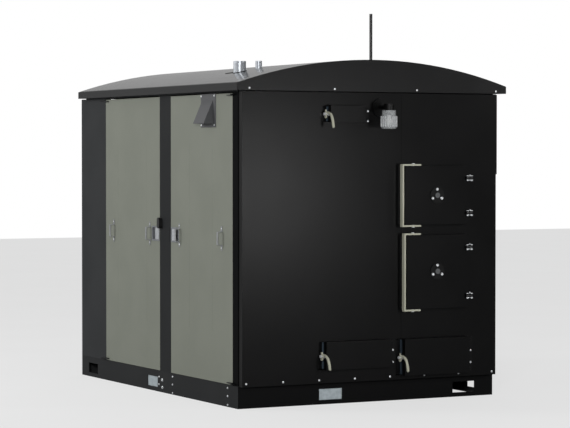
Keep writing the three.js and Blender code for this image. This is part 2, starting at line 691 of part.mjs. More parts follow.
function jarProfile() {
  const top = SOCKET.low - SEAT;
  const mouth = SOCKET.spigot + PLAY + SEAT;
  const base = JAR.radius - JAR.chamfer;
  const inner = JAR.radius - JAR.wall;
  const innerNeck = JAR.neck - JAR.wall;
  return [
    [0, JAR.bottom], [base, JAR.bottom], [JAR.radius, JAR.bottom + JAR.chamfer],
    [JAR.radius, JAR.shoulder], [JAR.neck, JAR.shoulder], [JAR.neck, top],
    [mouth, top], [mouth, top - JAR.wall], [innerNeck, top - JAR.wall],
    [innerNeck, JAR.shoulder - JAR.wall], [inner, JAR.shoulder - JAR.wall],
    [inner, JAR.bottom + JAR.chamfer], [base, JAR.bottom + JAR.wall], [0, JAR.bottom + JAR.wall],
  ];
}

function lathe(profile, [x, y], segments) {
  const geometry = new THREE.LatheGeometry(profile.map(([r, z]) => new THREE.Vector2(r, z)), segments);
  geometry.rotateX(Math.PI / 2);
  geometry.translate(x, y, 0);
  return solidOf(geometry);
}
part("lamp_jar", "glass", lathe(jarProfile(), jarCentre, JAR.facets));

// ---------------------------------------------------------------------------------------------
// Firebox doors
function ear(x, fromY, heights) {
  return join(
    cylinder("Z", [x, LINK.y], EAR.radius, heights, 8),
    box([x - EAR.radius, x + EAR.radius], [LINK.y, fromY], heights),
  );
}

function earPair(x, fromY, z) {
  const near = LINK.thick / 2 + PLAY;
  const far = near + EAR.thick;
  const hole = bore("Z", [x, LINK.y], LINK.pin + PLAY, [z - far - 1, z + far + 1], 8);
  return cut(join(ear(x, fromY, [z + near, z + far]), ear(x, fromY, [z - far, z - near])), hole);
}

function pinWithHeads(x, z) {
  const reach = LINK.thick / 2 + EAR.thick + 2 * PLAY;
  const end = reach + LINK.headThick;
  return join(
    cylinder("Z", [x, LINK.y], LINK.pin, [z - end + 1, z + end - 1], 8),
    cylinder("Z", [x, LINK.y], LINK.head, [z + reach, z + end], 8),
    cylinder("Z", [x, LINK.y], LINK.head, [z - end, z - reach], 8),
  );
}

function hingeLink(z) {
  const bar = prism("Z", stadium([LINK.doorPin, LINK.y], [LINK.framePin, LINK.y], LINK.radius),
    [z - LINK.thick / 2, z + LINK.thick / 2], 6);
  return join(bar, pinWithHeads(LINK.doorPin, z), pinWithHeads(LINK.framePin, z));
}

function fireDoor(door) {
  const leaf = box([door.left, door.right], [FIRE_DOOR.front, FIRE_DOOR.back], [door.low, door.high]);
  const plugX = shrink([door.left, door.right], THROAT.inset + THROAT.wall + FIRE_DOOR.inset / 2);
  const plugZ = shrink([door.low, door.high], THROAT.inset + THROAT.wall + FIRE_DOOR.inset / 2);
  const plug = box(plugX, [FIRE_DOOR.back - 1, FIRE_DOOR.back + FIRE_DOOR.plug], plugZ);
  const pad = cylinder("Y", door.pad, PAD.radius, [FIRE_DOOR.front - PAD.proud, FIRE_DOOR.front + 1], 28);
  const boss = cylinder("Y", door.pad, PAD.boss, [FIRE_DOOR.front - PAD.bossProud, FIRE_DOOR.front + 1], 14);
  const ears = door.hinges.map((z) => earPair(LINK.doorPin, FIRE_DOOR.front + 1, z));
  const studs = strapLevels(door).map(([from, to, out]) => {
    const root = out > 0 ? door.high - 1 : door.low + 1;
    const tip = out > 0 ? to + PLAY : from - PLAY;
    const head = [tip, tip + out * STRAP.headThick].sort((a, b) => a - b);
    const shank = [root, tip].sort((a, b) => a - b);
    return join(
      cylinder("Z", [door.pivot, STRAP.y], STRAP.stud, shank, 8),
      cylinder("Z", [door.pivot, STRAP.y], STRAP.head, head, 6),
    );
  });
  return join(leaf, plug, pad, boss, ...ears, ...studs);
}

// The strap's arms lie just above and just below the leaf.
function strapLevels(door) {
  const top = door.high + STRAP.lift;
  const bottom = door.low - STRAP.lift;
  return [[top, top + STRAP.thick, 1], [bottom - STRAP.thick, bottom, -1]];
}

function strapHandle(door) {
  const left = door.left - STRAP.reach;
  const [[topFrom, topTo], [lowFrom, lowTo]] = strapLevels(door);
  const depth = [STRAP.front, STRAP.back];
  const right = door.pivot + STRAP.tail;
  const arms = [[topFrom, topTo], [lowFrom, lowTo]].map((heights) => box([left, right], depth, heights));
  const bar = box([left, left + STRAP.thick], depth, [lowFrom, topTo]);
  const hole = bore("Z", [door.pivot, STRAP.y], STRAP.stud + PLAY, [lowFrom - 1, topTo + 1], 8);
  return cut(join(bar, ...arms), hole);
}

part("loading_door", "black", fireDoor(LOADING_DOOR));
part("loading_door_handle", "strap", strapHandle(LOADING_DOOR));
part("loading_door_link_top", "strap", hingeLink(LOADING_DOOR.hinges[0]));
part("loading_door_link_bottom", "strap", hingeLink(LOADING_DOOR.hinges[1]));
part("burn_door", "black", fireDoor(BURN_DOOR));
part("burn_door_handle", "strap", strapHandle(BURN_DOOR));
part("burn_door_link_top", "strap", hingeLink(BURN_DOOR.hinges[0]));
part("burn_door_link_bottom", "strap", hingeLink(BURN_DOOR.hinges[1]));

// ---------------------------------------------------------------------------------------------
// Cleanout doors with rod latches
function smallHingeLevels(door) {
  return [door.low + SMALL_HINGE.fromEnd, door.high - SMALL_HINGE.fromEnd];
}

function smallDoor(door) {
  const axisX = door.right + SMALL_HINGE.offset;
  const leaf = box([door.left, door.right], [SMALL_DOOR.front, SMALL_DOOR.back], [door.low, door.high]);
  const inner = SMALL_DOOR.inset + SMALL_DOOR.wall + SMALL_HINGE.offset;
  const plugDepth = [SMALL_DOOR.back - 1, SMALL_DOOR.back + SMALL_DOOR.plug];
  const plug = box(shrink([door.left, door.right], inner), plugDepth, shrink([door.low, door.high], inner));
  const lugDepth = [SMALL_HINGE.y - SMALL_HINGE.radius, SMALL_HINGE.y + SMALL_HINGE.radius];
  const lugs = smallHingeLevels(door).map((z) => {
    const lug = [z - SMALL_HINGE.lug / 2, z + SMALL_HINGE.lug / 2];
    return join(
      cylinder("Z", [axisX, SMALL_HINGE.y], SMALL_HINGE.radius, lug, 8),
      box([door.right - 1, axisX], lugDepth, lug),
      cylinder("Z", [axisX, SMALL_HINGE.y], SMALL_HINGE.pin,
        shrink(lug, -2 * PLAY - SMALL_HINGE.ear - 2), 8),
    );
  });
  const centre = [SMALL_LATCH.y, door.z];
  const bolt = join(
    cylinder("X", centre, SMALL_LATCH.bolt, [door.head + 1, door.left + 1], 10),
    cylinder("X", centre, SMALL_LATCH.head, [door.head, door.head + SMALL_LATCH.headThick], 6),
    cylinder("X", centre, SMALL_LATCH.boss, [door.left - SMALL_LATCH.bossLength, door.left + 1], 12),
  );
  return join(leaf, plug, bolt, ...lugs);
}

// The rod leaves the hub level, hangs down in front of the leaf and leans over it at its tip.
function rodCurve(door) {
  const x = door.left - ROD.gap - ROD.radius;
  const { y } = SMALL_LATCH;
  const root = door.z + ROD.rise;
  const bend = door.z - ROD.rise;
  return new THREE.CubicBezierCurve3(
    new THREE.Vector3(x, y, root),
    new THREE.Vector3(x, THREE.MathUtils.lerp(y, door.reach, 2 / 3), root),
    new THREE.Vector3(x, door.reach, bend),
    new THREE.Vector3(x + ROD.lean, door.reach, door.tip),
  );
}

// The cam plate: a round hook below the bolt that tapers to a narrow tail above it
function camOutline(door) {
  const { y } = SMALL_LATCH;
  const low = door.z - CAM.low;
  const high = door.z + CAM.high;
  const shape = new THREE.Shape();
  shape.moveTo(y - CAM.radius, low);
  shape.lineTo(y - CAM.tip, high);
  shape.absarc(y, high, CAM.tip, Math.PI, 0, true);
  shape.lineTo(y + CAM.radius, low);
  shape.absarc(y, low, CAM.radius, 0, -Math.PI, true);
  return shape;
}

function rodLatch(door) {
  const centre = [SMALL_LATCH.y, door.z];
  const hub = [door.head + SMALL_LATCH.headThick + PLAY, door.left - SMALL_LATCH.bossLength - PLAY];
  const cam = [hub[0] + CAM.inset, hub[0] + CAM.inset + CAM.thick];
  const curve = rodCurve(door);
  const body = join(
    cylinder("X", centre, SMALL_LATCH.hub, hub, 12),
    prism("X", camOutline(door), cam, 6),
    sweep(curve, ROD.radius, ROD.steps, ROD.facets),
    ball(curve.v3.toArray(), ROD.radius, ROD.facets),
  );
  return cut(body, bore("X", centre, SMALL_LATCH.bolt + PLAY, shrink(hub, -20), 10));
}

part("brush_door", "black", smallDoor(BRUSH_DOOR));
part("brush_door_latch", "strap", rodLatch(BRUSH_DOOR));
part("ash_door_left", "black", smallDoor(ASH_DOOR_LEFT));
part("ash_door_left_latch", "strap", rodLatch(ASH_DOOR_LEFT));
part("ash_door_right", "black", smallDoor(ASH_DOOR_RIGHT));
part("ash_door_right_latch", "strap", rodLatch(ASH_DOOR_RIGHT));

// ---------------------------------------------------------------------------------------------
// Boiler body: firebox vessel on the right, heat exchanger on the left, throats welded on
function frameHinges(door) {
  const padX = [LINK.framePin - EAR.radius, LINK.framePin - EAR.radius + HINGE_PAD.width];
  const padY = [outerFace - HINGE_PAD.thick, outerFace];
  const pads = door.hinges.map((z) =>
    join(
      box(padX, padY, [z - HINGE_PAD.height / 2, z + HINGE_PAD.height / 2]),
      earPair(LINK.framePin, outerFace - 1, z),
    ));
  const studs = hingeStuds(door).map((centre) =>
    cylinder("Y", centre, HINGE_PAD.stud, [padY[0] + 1, VESSEL.front + 1], 8));
  return join(...pads, ...studs);
}

function smallFrame(door, bodyFront) {
  const outer = throatSize(door, SMALL_DOOR.inset);
  const axisX = door.right + SMALL_HINGE.offset;
  const tube = box(outer.x, [SMALL_DOOR.throat, bodyFront + 1], outer.z);
  const flangeX = [outer.x[1] - 1, door.right + SMALL_HINGE.flange];
  const flange = box(flangeX, [SMALL_DOOR.throat, outerFace], outer.z);
  const earX = [axisX - SMALL_HINGE.radius, axisX + SMALL_HINGE.radius];
  const catchFlange = box([outer.x[0] - CATCH.width, outer.x[0] + 1],
    [CATCH.back - CATCH.thick, CATCH.back], outer.z);
  const ears = smallHingeLevels(door).flatMap((z) => {
    const near = SMALL_HINGE.lug / 2 + PLAY;
    const far = near + SMALL_HINGE.ear;
    return [[z + near, z + far], [z - far, z - near]].map((heights) =>
      join(
        cylinder("Z", [axisX, SMALL_HINGE.y], SMALL_HINGE.radius, heights, 8),
        box(earX, [SMALL_HINGE.y, SMALL_DOOR.throat + 1], heights),
      ));
  });
  const pins = bore("Z", [axisX, SMALL_HINGE.y], SMALL_HINGE.pin + PLAY, [door.low - 1, door.high + 1], 8);
  return cut(join(tube, flange, catchFlange, ...ears), pins);
}

function feet(body) {
  const xs = [body.left, body.right - FOOT.width];
  const ys = [body.front + FOOT.length, body.rear - 2 * FOOT.length];
  return xs.flatMap((x) =>
    ys.map((y) => box([x, x + FOOT.width], [y, y + FOOT.length], [standing, body.low + 1])));
}

function bodyBlock(body) {
  return box([body.left, body.right], [body.front, body.rear], [body.low, body.high]);
}

function chamber(door, inset, wall, body, depth, grow) {
  const outer = throatSize(door, inset + wall);
  return box(shrink(outer.x, -grow), [body.front + wall, body.front + depth], shrink(outer.z, -grow));
}

function fireboxVessel() {
  const throatEnd = VESSEL.front + 2 * THROAT.wall;
  const throats = fireDoors.map((door) => throatTube(door, THROAT.inset, THROAT.front, VESSEL.front + 1));
  const solid = join(
    bodyBlock(VESSEL),
    ...feet(VESSEL),
    ...throats,
    ...fireDoors.map(frameHinges),
    smallFrame(ASH_DOOR_RIGHT, VESSEL.front),
  );
  return cut(
    solid,
    ...fireDoors.map((door) => throatBore(door, THROAT.inset, THROAT.wall, THROAT.front, throatEnd)),
    throatBore(ASH_DOOR_RIGHT, SMALL_DOOR.inset, SMALL_DOOR.wall, SMALL_DOOR.throat, throatEnd),
    chamber(LOADING_DOOR, THROAT.inset, THROAT.wall, VESSEL, LOADING_CHAMBER.depth, LOADING_CHAMBER.wall / 2),
    chamber(BURN_DOOR, THROAT.inset, THROAT.wall, VESSEL, BURN_CHAMBER.depth, BURN_CHAMBER.wall / 2),
    chamber(ASH_DOOR_RIGHT, SMALL_DOOR.inset, SMALL_DOOR.wall, VESSEL, ASH_CHAMBER.depth, 0),
  );
}
part("firebox_vessel", "firebox", fireboxVessel());

function heatExchanger() {
  const doors = [BRUSH_DOOR, ASH_DOOR_LEFT];
  const sleeveCentre = [FLOAT_ROD.x, FLOAT_ROD.y];
  const sleeveLow = EXCHANGER.high - FLOAT_SLEEVE.bore;
  const throatEnd = EXCHANGER.front + CLEANOUT_DEPTH;
  const solid = join(
    bodyBlock(EXCHANGER),
    ...feet(EXCHANGER),
    ...doors.map((door) => smallFrame(door, EXCHANGER.front)),
    cylinder("Z", sleeveCentre, FLOAT_SLEEVE.radius, [sleeveLow, FLOAT_SLEEVE.top], 16),
  );
  return cut(
    solid,
    ...doors.map((door) =>
      throatBore(door, SMALL_DOOR.inset, SMALL_DOOR.wall, SMALL_DOOR.throat, throatEnd)),
    bore("Z", sleeveCentre, FLOAT_ROD.radius + PLAY, [sleeveLow + SHEET, FLOAT_SLEEVE.top + 1], 16),
  );
}
part("heat_exchanger", "firebox", heatExchanger());
const rodSpan = [EXCHANGER.high - FLOAT_ROD.depth, FLOAT_ROD.top];
part("float_rod", "black",
  cylinder("Z", [FLOAT_ROD.x, FLOAT_ROD.y], FLOAT_ROD.radius, rodSpan, 16));

// ---------------------------------------------------------------------------------------------
// Service compartment: blower with its wheel, control box, supply pipe, return pipe and pump
const portX = EXCHANGER.left - SEAT;
const blowerBack = BLOWER.front + BLOWER.depth;

// The scroll's wall opens out from the tongue over three quarters of a turn.
function scrollShape(grow) {
  const points = [];
  for (let i = 0; i <= SCROLL_STEPS; i += 1) {
    const share = i / SCROLL_STEPS;
    const angle = Math.PI * (1 / 2 + (3 / 2) * share);
    const radius = THREE.MathUtils.lerp(BLOWER.tongue, BLOWER.radius, share) + grow;
    points.push([BLOWER.x + radius * Math.cos(angle), BLOWER.z + radius * Math.sin(angle)]);
  }
  return points;
}

function blowerHousing() {
  const spanY = [BLOWER.front, blowerBack];
  const top = BLOWER.z + BLOWER.tongue;
  const duct = [top - BLOWER.outlet, top];
  const innerY = shrink(spanY, BLOWER.wall);
  const shell = join(
    prism("Y", scrollShape(0), spanY),
    box([BLOWER.x, portX], spanY, duct),
  );
  const hollow = join(
    prism("Y", scrollShape(-BLOWER.wall), innerY),
    box([BLOWER.x, portX + 1], innerY, shrink(duct, BLOWER.wall)),
    cylinder("Y", [BLOWER.x, BLOWER.z], BLOWER.inlet, [BLOWER.front - 1, BLOWER.front + 2 * BLOWER.wall], 24),
  );
  const centre = [BLOWER.x, BLOWER.z];
  const shaft = cylinder("Y", centre, WHEEL.shaft, [BLOWER.front + WHEEL.gap, blowerBack - 1], 16);
  const motor = cylinder("Y", centre, BLOWER.inlet, [blowerBack - 1, blowerBack + BLOWER.motor], 20);
  return join(cut(shell, hollow), shaft, motor);
}
part("blower_housing", "box", blowerHousing());

function blowerWheel() {
  const spanY = [BLOWER.front + WHEEL.gap + PLAY, blowerBack - BLOWER.wall - WHEEL.gap];
  const centre = [BLOWER.x, BLOWER.z];
  const disc = cylinder("Y", centre, WHEEL.radius, [spanY[1] - WHEEL.blade, spanY[1]], 24);
  const hub = cylinder("Y", centre, WHEEL.hub, spanY, 20);
  const blades = [];
  for (let i = 0; i < WHEEL.blades; i += 1) {
    const blade = box([WHEEL.bladeRoot, WHEEL.radius - 1], spanY, [-WHEEL.blade / 2, WHEEL.blade / 2]);
    blades.push(blade.rotate([0, (360 * i) / WHEEL.blades, 0]).translate([BLOWER.x, 0, BLOWER.z]));
  }
  const shaftHole = bore("Y", centre, WHEEL.shaft + PLAY, [spanY[0] - 1, spanY[1] + 1], 16);
  return cut(join(disc, hub, ...blades), shaftHole);
}
part("blower_wheel", "galvanised", blowerWheel());

part("control_box", "box",
  join(
    box([portX - CONTROL.depth, portX], [CONTROL.front, CONTROL.rear], [CONTROL.low, CONTROL.high]),
    box([portX - CONTROL.depth - CONTROL.lid, portX - CONTROL.depth + 1],
      shrink([CONTROL.front, CONTROL.rear], -CONTROL.lid), shrink([CONTROL.low, CONTROL.high], -CONTROL.lid)),
  ));

const pipeEnd = BODY_LENGTH + PIPE.stub;
// From the vessel's side port through one elbow and out through the rear wall.
function elbowPipe(radius, elbow, extra) {
  const corner = [PIPE.x, SUPPLY.y, SUPPLY.z];
  return join(
    cylinder("X", [SUPPLY.y, SUPPLY.z], radius, [PIPE.x, portX + extra], 20),
    cylinder("Y", [PIPE.x, SUPPLY.z], radius, [SUPPLY.y, pipeEnd + extra], 20),
    ball(corner, elbow, 12),
  );
}
part("supply_pipe", "steel",
  cut(elbowPipe(PIPE.radius, PIPE.elbow, 0), elbowPipe(PIPE.radius - PIPE.wall, PIPE.radius - PIPE.wall, 1)));

const pumpBack = PUMP.y + PUMP.length / 2;
part("return_pipe", "steel",
  cut(
    join(
      cylinder("Y", [PIPE.x, PUMP.z], PIPE.radius, [pumpBack + SEAT, pipeEnd], 20),
      cylinder("Y", [PIPE.x, PUMP.z], PIPE.flange, [pumpBack + SEAT, pumpBack + SEAT + PIPE.flangeThick], 24),
    ),
    cylinder("Y", [PIPE.x, PUMP.z], PIPE.radius - PIPE.wall, [pumpBack - 1, pipeEnd + 1], 24),
  ));
part("pump", "pump",
  join(
    cylinder("Y", [PIPE.x, PUMP.z], PUMP.body, [PUMP.y - PUMP.length / 3, PUMP.y + PUMP.length / 3], 16),
    cylinder("Y", [PIPE.x, PUMP.z], PIPE.flange, [PUMP.y, pumpBack], 16),
    cylinder("X", [PUMP.y, PUMP.z], PIPE.radius, [PIPE.x, portX], 16),
    cylinder("X", [PUMP.y, PUMP.z], PUMP.flange, [portX - PIPE.flangeThick, portX], 16),
    cylinder("X", [PUMP.y, PUMP.z], PUMP.motor, [PIPE.x - PUMP.length, PIPE.x], 16),
  ));

// The origin goes under the middle of the whole boiler, on the ground.
const bounds = new THREE.Box3().setFromObject(boiler);
const middle = bounds.getCenter(new THREE.Vector3());
boiler.position.set(-middle.x, -middle.y, -bounds.min.z);

export default boiler;
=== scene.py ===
import math
import bmesh
import bpy
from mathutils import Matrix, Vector


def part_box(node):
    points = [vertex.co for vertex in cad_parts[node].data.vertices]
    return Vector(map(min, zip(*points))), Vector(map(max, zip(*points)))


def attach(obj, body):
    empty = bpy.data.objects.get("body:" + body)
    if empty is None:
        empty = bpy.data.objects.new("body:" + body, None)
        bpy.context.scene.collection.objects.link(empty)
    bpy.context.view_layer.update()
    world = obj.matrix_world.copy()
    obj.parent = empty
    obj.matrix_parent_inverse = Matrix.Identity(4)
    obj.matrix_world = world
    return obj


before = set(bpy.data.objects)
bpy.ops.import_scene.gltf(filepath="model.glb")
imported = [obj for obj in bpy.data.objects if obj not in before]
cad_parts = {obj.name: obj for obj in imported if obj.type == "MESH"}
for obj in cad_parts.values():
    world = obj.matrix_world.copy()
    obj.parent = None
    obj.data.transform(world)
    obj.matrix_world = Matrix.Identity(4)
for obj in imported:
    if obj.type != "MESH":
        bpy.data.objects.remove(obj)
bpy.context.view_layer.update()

# ---------------------------------------------------------------------------------------------
# Camera: it stands at the photographer's place, low at the left front, with a long lens.
# All places are given from the skid's front left foot, as the photograph was measured.
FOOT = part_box("skid_front_rail")[0]


def at(x, y, z):
    """A place in metres from the front left foot of the skid."""
    return Vector((FOOT.x + x, FOOT.y + y, z))


SENSOR = 0.036
FOCAL_PIXELS = 2277.23
PHOTO_WIDTH = 570
camera_data = bpy.data.cameras.new("photo_camera")
camera_data.sensor_width = SENSOR * 1000
camera_data.lens = SENSOR * 1000 * FOCAL_PIXELS / PHOTO_WIDTH
camera = bpy.data.objects.new("photo_camera", camera_data)
camera.location = at(-7.1466, -14.3994, 1.8056)
camera.rotation_euler = (math.radians(90 - 1.509), 0, math.radians(-27.58))
bpy.context.scene.collection.objects.link(camera)
bpy.context.scene.camera = camera


# ---------------------------------------------------------------------------------------------
# Studio: a soft sky that is brightest behind and above the boiler, four soft boxes, a plain floor.
# The boiler sees a darker sky and floor than the camera does, so that its black faces stay black.
class Wire:
    """A socket that takes part in Python arithmetic; every operator adds a Math node."""

    def __init__(self, tree, socket=None):
        self.tree = tree
        self.socket = socket

    def node(self, kind, inputs=None, output=0, **settings):
        """Adds a node of any kind: its settings first, then values or links for its sockets."""
        made = self.tree.nodes.new(kind)
        for name, value in settings.items():
            setattr(made, name, value)
        for key, value in (inputs or {}).items():
            for each in value if isinstance(value, list) else [value]:
                if isinstance(each, Wire):
                    self.tree.links.new(each.socket, made.inputs[key])
                else:
                    made.inputs[key].default_value = each
        return Wire(self.tree, made.outputs[output])

    def twin(self, output):
        """Another output of the same node."""
        return Wire(self.tree, self.socket.node.outputs[output])

    def math(self, operation, *values, clamp=False):
        inputs = {i: value for i, value in enumerate(values)}
        return self.node("ShaderNodeMath", inputs, operation=operation, use_clamp=clamp)

    def __add__(self, other):
        return self.math("ADD", self, other)

    __radd__ = __add__

    def __sub__(self, other):
        return self.math("SUBTRACT", self, other)

    def __rsub__(self, other):
        return self.math("SUBTRACT", other, self)

    def __mul__(self, other):
        return self.math("MULTIPLY", self, other)

    __rmul__ = __mul__

    def __truediv__(self, other):
        return self.math("DIVIDE", self, other)

    def __gt__(self, other):
        return self.math("GREATER_THAN", self, other)

    def __lt__(self, other):
        return self.math("LESS_THAN", self, other)

    def __abs__(self):
        return self.math("ABSOLUTE", self)

    def ramp(self, low, high):
        """0 at low, 1 at high, smooth between them."""
        inputs = {"Value": self, "From Min": low, "From Max": high, "To Min": 0.0, "To Max": 1.0}
        return self.node("ShaderNodeMapRange", inputs, interpolation_type="SMOOTHSTEP")

    def mix(self, first, second):
        """The first colour where this mask is 0 and the second where it is 1."""
        inputs = {0: self}
        for key, value in ((6, first), (7, second)):
            inputs[key] = value if isinstance(value, Wire) else (*value, 1.0)
        return self.node("ShaderNodeMix", inputs, output=2, data_type="RGBA")


bpy.context.scene.view_settings.view_transform = "Standard"
world = bpy.data.worlds.new("studio")
bpy.context.scene.world = world
world.use_nodes = True
sky = Wire(world.node_tree)
heading = sky.node("ShaderNodeSeparateXYZ", {0: sky.node("ShaderNodeTexCoord")})
toward_rear = heading.twin("Y")
upward = heading.twin("Z")
glow = 0.02 + 0.46 * toward_rear.ramp(-0.1, 0.8) + 0.35 * upward.ramp(0.2, 0.95)
seen = sky.node("ShaderNodeLightPath", output="Is Camera Ray")
strength = seen + (1 - seen) * glow
background = world.node_tree.nodes["Background"]
world.node_tree.links.new(strength.socket, background.inputs["Strength"])
background.inputs["Color"].default_value = (1, 1, 1, 1)


def soft_box(name, place, target, width, height, power):
    """A rectangular area light that faces a target."""
    data = bpy.data.lights.new(name, "AREA")
    data.shape = "RECTANGLE"
    data.size = width
    data.size_y = height
    data.energy = power
    lamp = bpy.data.objects.new(name, data)
    lamp.location = place
    lamp.rotation_euler = (place - target).to_track_quat("Z", "Y").to_euler()
    bpy.context.scene.collection.objects.link(lamp)


soft_box("front_box", at(2.55, -5.2, 1.5), at(0.6, 0, 1.5), 0.8, 1.1, 45)
soft_box("left_box", at(-6.5, 4.5, 4.2), at(0, 1.4, 1.3), 2.6, 2.6, 260)
soft_box("camera_box", at(-8.2, -13.0, 4.0), at(1.0, 0, 1.3), 2.0, 2.0, 1150)
soft_box("right_box", at(7.6, -5.2, 3.4), at(1.1, 0, 1.4), 0.4, 0.4, 80)


def plain_floor(half, paleness):
    """A square floor; the camera sees it mixed with this share of plain white light."""
    mesh = bpy.data.meshes.new("floor")
    corners = [(-half, -half, 0), (half, -half, 0), (half, half, 0), (-half, half, 0)]
    mesh.from_pydata(corners, [], [(0, 1, 2, 3)])
    floor = bpy.data.objects.new("floor", mesh)
    bpy.context.scene.collection.objects.link(floor)
    material = bpy.data.materials.new("floor")
    material.use_nodes = True
    tree = material.node_tree
    shader = tree.nodes["Principled BSDF"]
    shader.inputs["Roughness"].default_value = 0.9
    shader.inputs["Specular IOR Level"].default_value = 0.2
    place = Wire(tree).node("ShaderNodeTexCoord", output="Object")
    cloud = place.node("ShaderNodeTexNoise", {"Vector": place, "Scale": 0.8, "Detail": 3.0})
    tone = cloud.ramp(0.3, 0.7).mix((0.48, 0.485, 0.49), (0.51, 0.515, 0.52))
    tree.links.new(tone.socket, shader.inputs["Base Color"])
    pale = place.node("ShaderNodeEmission", {"Color": (1, 1, 1, 1), "Strength": 1.0})
    seen_share = paleness * place.node("ShaderNodeLightPath", output="Is Camera Ray")
    both = place.node("ShaderNodeMixShader", {
        0: seen_share, 1: Wire(tree, shader.outputs[0]), 2: pale})
    tree.links.new(both.socket, tree.nodes["Material Output"].inputs["Surface"])
    mesh.materials.append(material)


plain_floor(half=30.0, paleness=0.66)


# ---------------------------------------------------------------------------------------------
# Skid: channel rails in dark grey paint under the whole cabinet, welded at the corners, with fork
# pockets. Two modules meet in the left rail, where hexagon bolts through the webs hold them.
def finish(name, dark, light, rough, metal=0.0, coat=0.0, specular=0.5, grain=0.004, peel=0.12,
           patch=0.35, zones=()):
    """Paint, bare metal or plastic: two tones in soft patches, fine grain and a light orange peel.

    A zone is (mask, colour, roughness, metallic); its mask is a function of x, y and z in metres
    from the front left foot, for the bolts and plates that are one solid with a painted part.
    """
    material = bpy.data.materials.new(name)
    material.use_nodes = True
    tree = material.node_tree
    shader = tree.nodes["Principled BSDF"]
    shader.inputs["Metallic"].default_value = metal
    shader.inputs["Coat Weight"].default_value = coat
    shader.inputs["Specular IOR Level"].default_value = specular
    place = Wire(tree).node("ShaderNodeTexCoord", output="Object")
    cloud = place.node("ShaderNodeTexNoise", {"Vector": place, "Scale": 1 / patch, "Detail": 4.0})
    fine = place.node("ShaderNodeTexNoise", {"Vector": place, "Scale": 1 / grain, "Detail": 2.0})
    colour = (0.75 * cloud.ramp(0.35, 0.65) + 0.25 * fine.ramp(0.3, 0.7)).mix(dark, light)
    roughness = rough - 0.03 + 0.06 * cloud
    metallic = metal
    if zones:
        parts = place.node("ShaderNodeSeparateXYZ", {0: place})
        here = (parts - FOOT.x, parts.twin("Y") - FOOT.y, parts.twin("Z"))
        for mask, tint, gloss, bare in zones:
            where = mask(*here)
            colour = where.mix(colour, tint)
            roughness = roughness + where * (gloss - roughness)
            metallic = metallic + where * (bare - metallic)
        tree.links.new(metallic.socket, shader.inputs["Metallic"])
    tree.links.new(colour.socket, shader.inputs["Base Color"])
    tree.links.new(roughness.socket, shader.inputs["Roughness"])
    bump = place.node("ShaderNodeBump", {"Strength": peel, "Distance": 0.0006, "Height": fine})
    tree.links.new(bump.socket, shader.inputs["Normal"])
    return material


def dress(material, *nodes):
    """Gives CAD nodes a finish."""
    for name in nodes:
        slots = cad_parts[name].data.materials
        slots.clear()
        slots.append(material)


def node_tree(name, sockets):
    """An empty Geometry Nodes tree with named inputs after its geometry."""
    tree = bpy.data.node_groups.new(name, "GeometryNodeTree")
    tree.interface.new_socket("Geometry", in_out="INPUT", socket_type="NodeSocketGeometry")
    for label, kind in sockets.items():
        tree.interface.new_socket(label, in_out="INPUT", socket_type="NodeSocket" + kind)
    tree.interface.new_socket("Geometry", in_out="OUTPUT", socket_type="NodeSocketGeometry")
    given = tree.nodes.new("NodeGroupInput")
    return tree, {socket.name: Wire(tree, socket) for socket in given.outputs if socket.name}


def close_tree(shape, given):
    """Ends a tree with real geometry in the finish that the piece asks for."""
    real = shape.node("GeometryNodeRealizeInstances", {0: shape})
    done = real.node("GeometryNodeSetMaterial", {"Geometry": real, "Material": given["Finish"]})
    end = done.tree.nodes.new("NodeGroupOutput")
    done.tree.links.new(done.socket, end.inputs[0])


def grow(name, tree, places, body, slot, **inputs):
    """Runs a tree on a set of points, keeps the result as one plain mesh and rides it on a body."""
    points = bpy.data.meshes.new(name + "_points")
    points.from_pydata([tuple(place) for place in places], [], [])
    piece = bpy.data.objects.new(name, points)
    bpy.context.scene.collection.objects.link(piece)
    modifier = piece.modifiers.new("grow", "NODES")
    modifier.node_group = tree
    for item in tree.interface.items_tree:
        key = item.name.replace(" ", "_").lower()
        if item.in_out == "INPUT" and key in inputs:
            modifier[item.identifier] = inputs[key]
    piece.update_tag()
    graph = bpy.context.evaluated_depsgraph_get()
    mesh = bpy.data.meshes.new_from_object(piece.evaluated_get(graph))
    piece.modifiers.clear()
    piece.data = mesh
    mesh.name = name
    bpy.data.meshes.remove(points)
    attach(piece, body)


HEAD_SOCKETS = {
    "Outward": "Vector", "Head Radius": "Float", "Head Height": "Float", "Washer Radius": "Float",
    "Washer Height": "Float", "Facets": "Int", "Finish": "Material",
}
HEAD_TAPER = 0.86
WASHER_TO_HEAD = {"radius": 1.3, "height": 0.55}
head_tree, given = node_tree("fastener_heads", HEAD_SOCKETS)
ball = given["Geometry"].node("GeometryNodeMeshUVSphere", {
    "Segments": 20, "Rings": 10, "Radius": 1.0})
dome_size = ball.node("ShaderNodeCombineXYZ", {
    0: given["Washer Radius"], 1: given["Washer Radius"], 2: given["Washer Height"]})
dome = ball.node("GeometryNodeTransform", {"Geometry": ball, "Scale": dome_size})
washer = dome.node("GeometryNodeSetShadeSmooth", {0: dome})
head = given["Geometry"].node("GeometryNodeMeshCone", {
    "Vertices": given["Facets"], "Radius Bottom": given["Head Radius"],
    "Radius Top": given["Head Radius"] * HEAD_TAPER, "Depth": given["Head Height"]})
fastener = washer.node("GeometryNodeJoinGeometry", {0: [washer, head]})
turn = given["Geometry"].node("FunctionNodeRandomValue", {2: 0.0, 3: 2 * math.pi, 8: 7}, output=1)
spin = turn.node("FunctionNodeAxisAngleToRotation", {"Axis": (0, 0, 1), "Angle": turn})
facing = spin.node("FunctionNodeAlignRotationToVector", {
    "Rotation": spin, "Vector": given["Outward"]}, axis="Z")
close_tree(facing.node("GeometryNodeInstanceOnPoints", {
    "Points": given["Geometry"], "Instance": fastener, "Rotation": facing}), given)

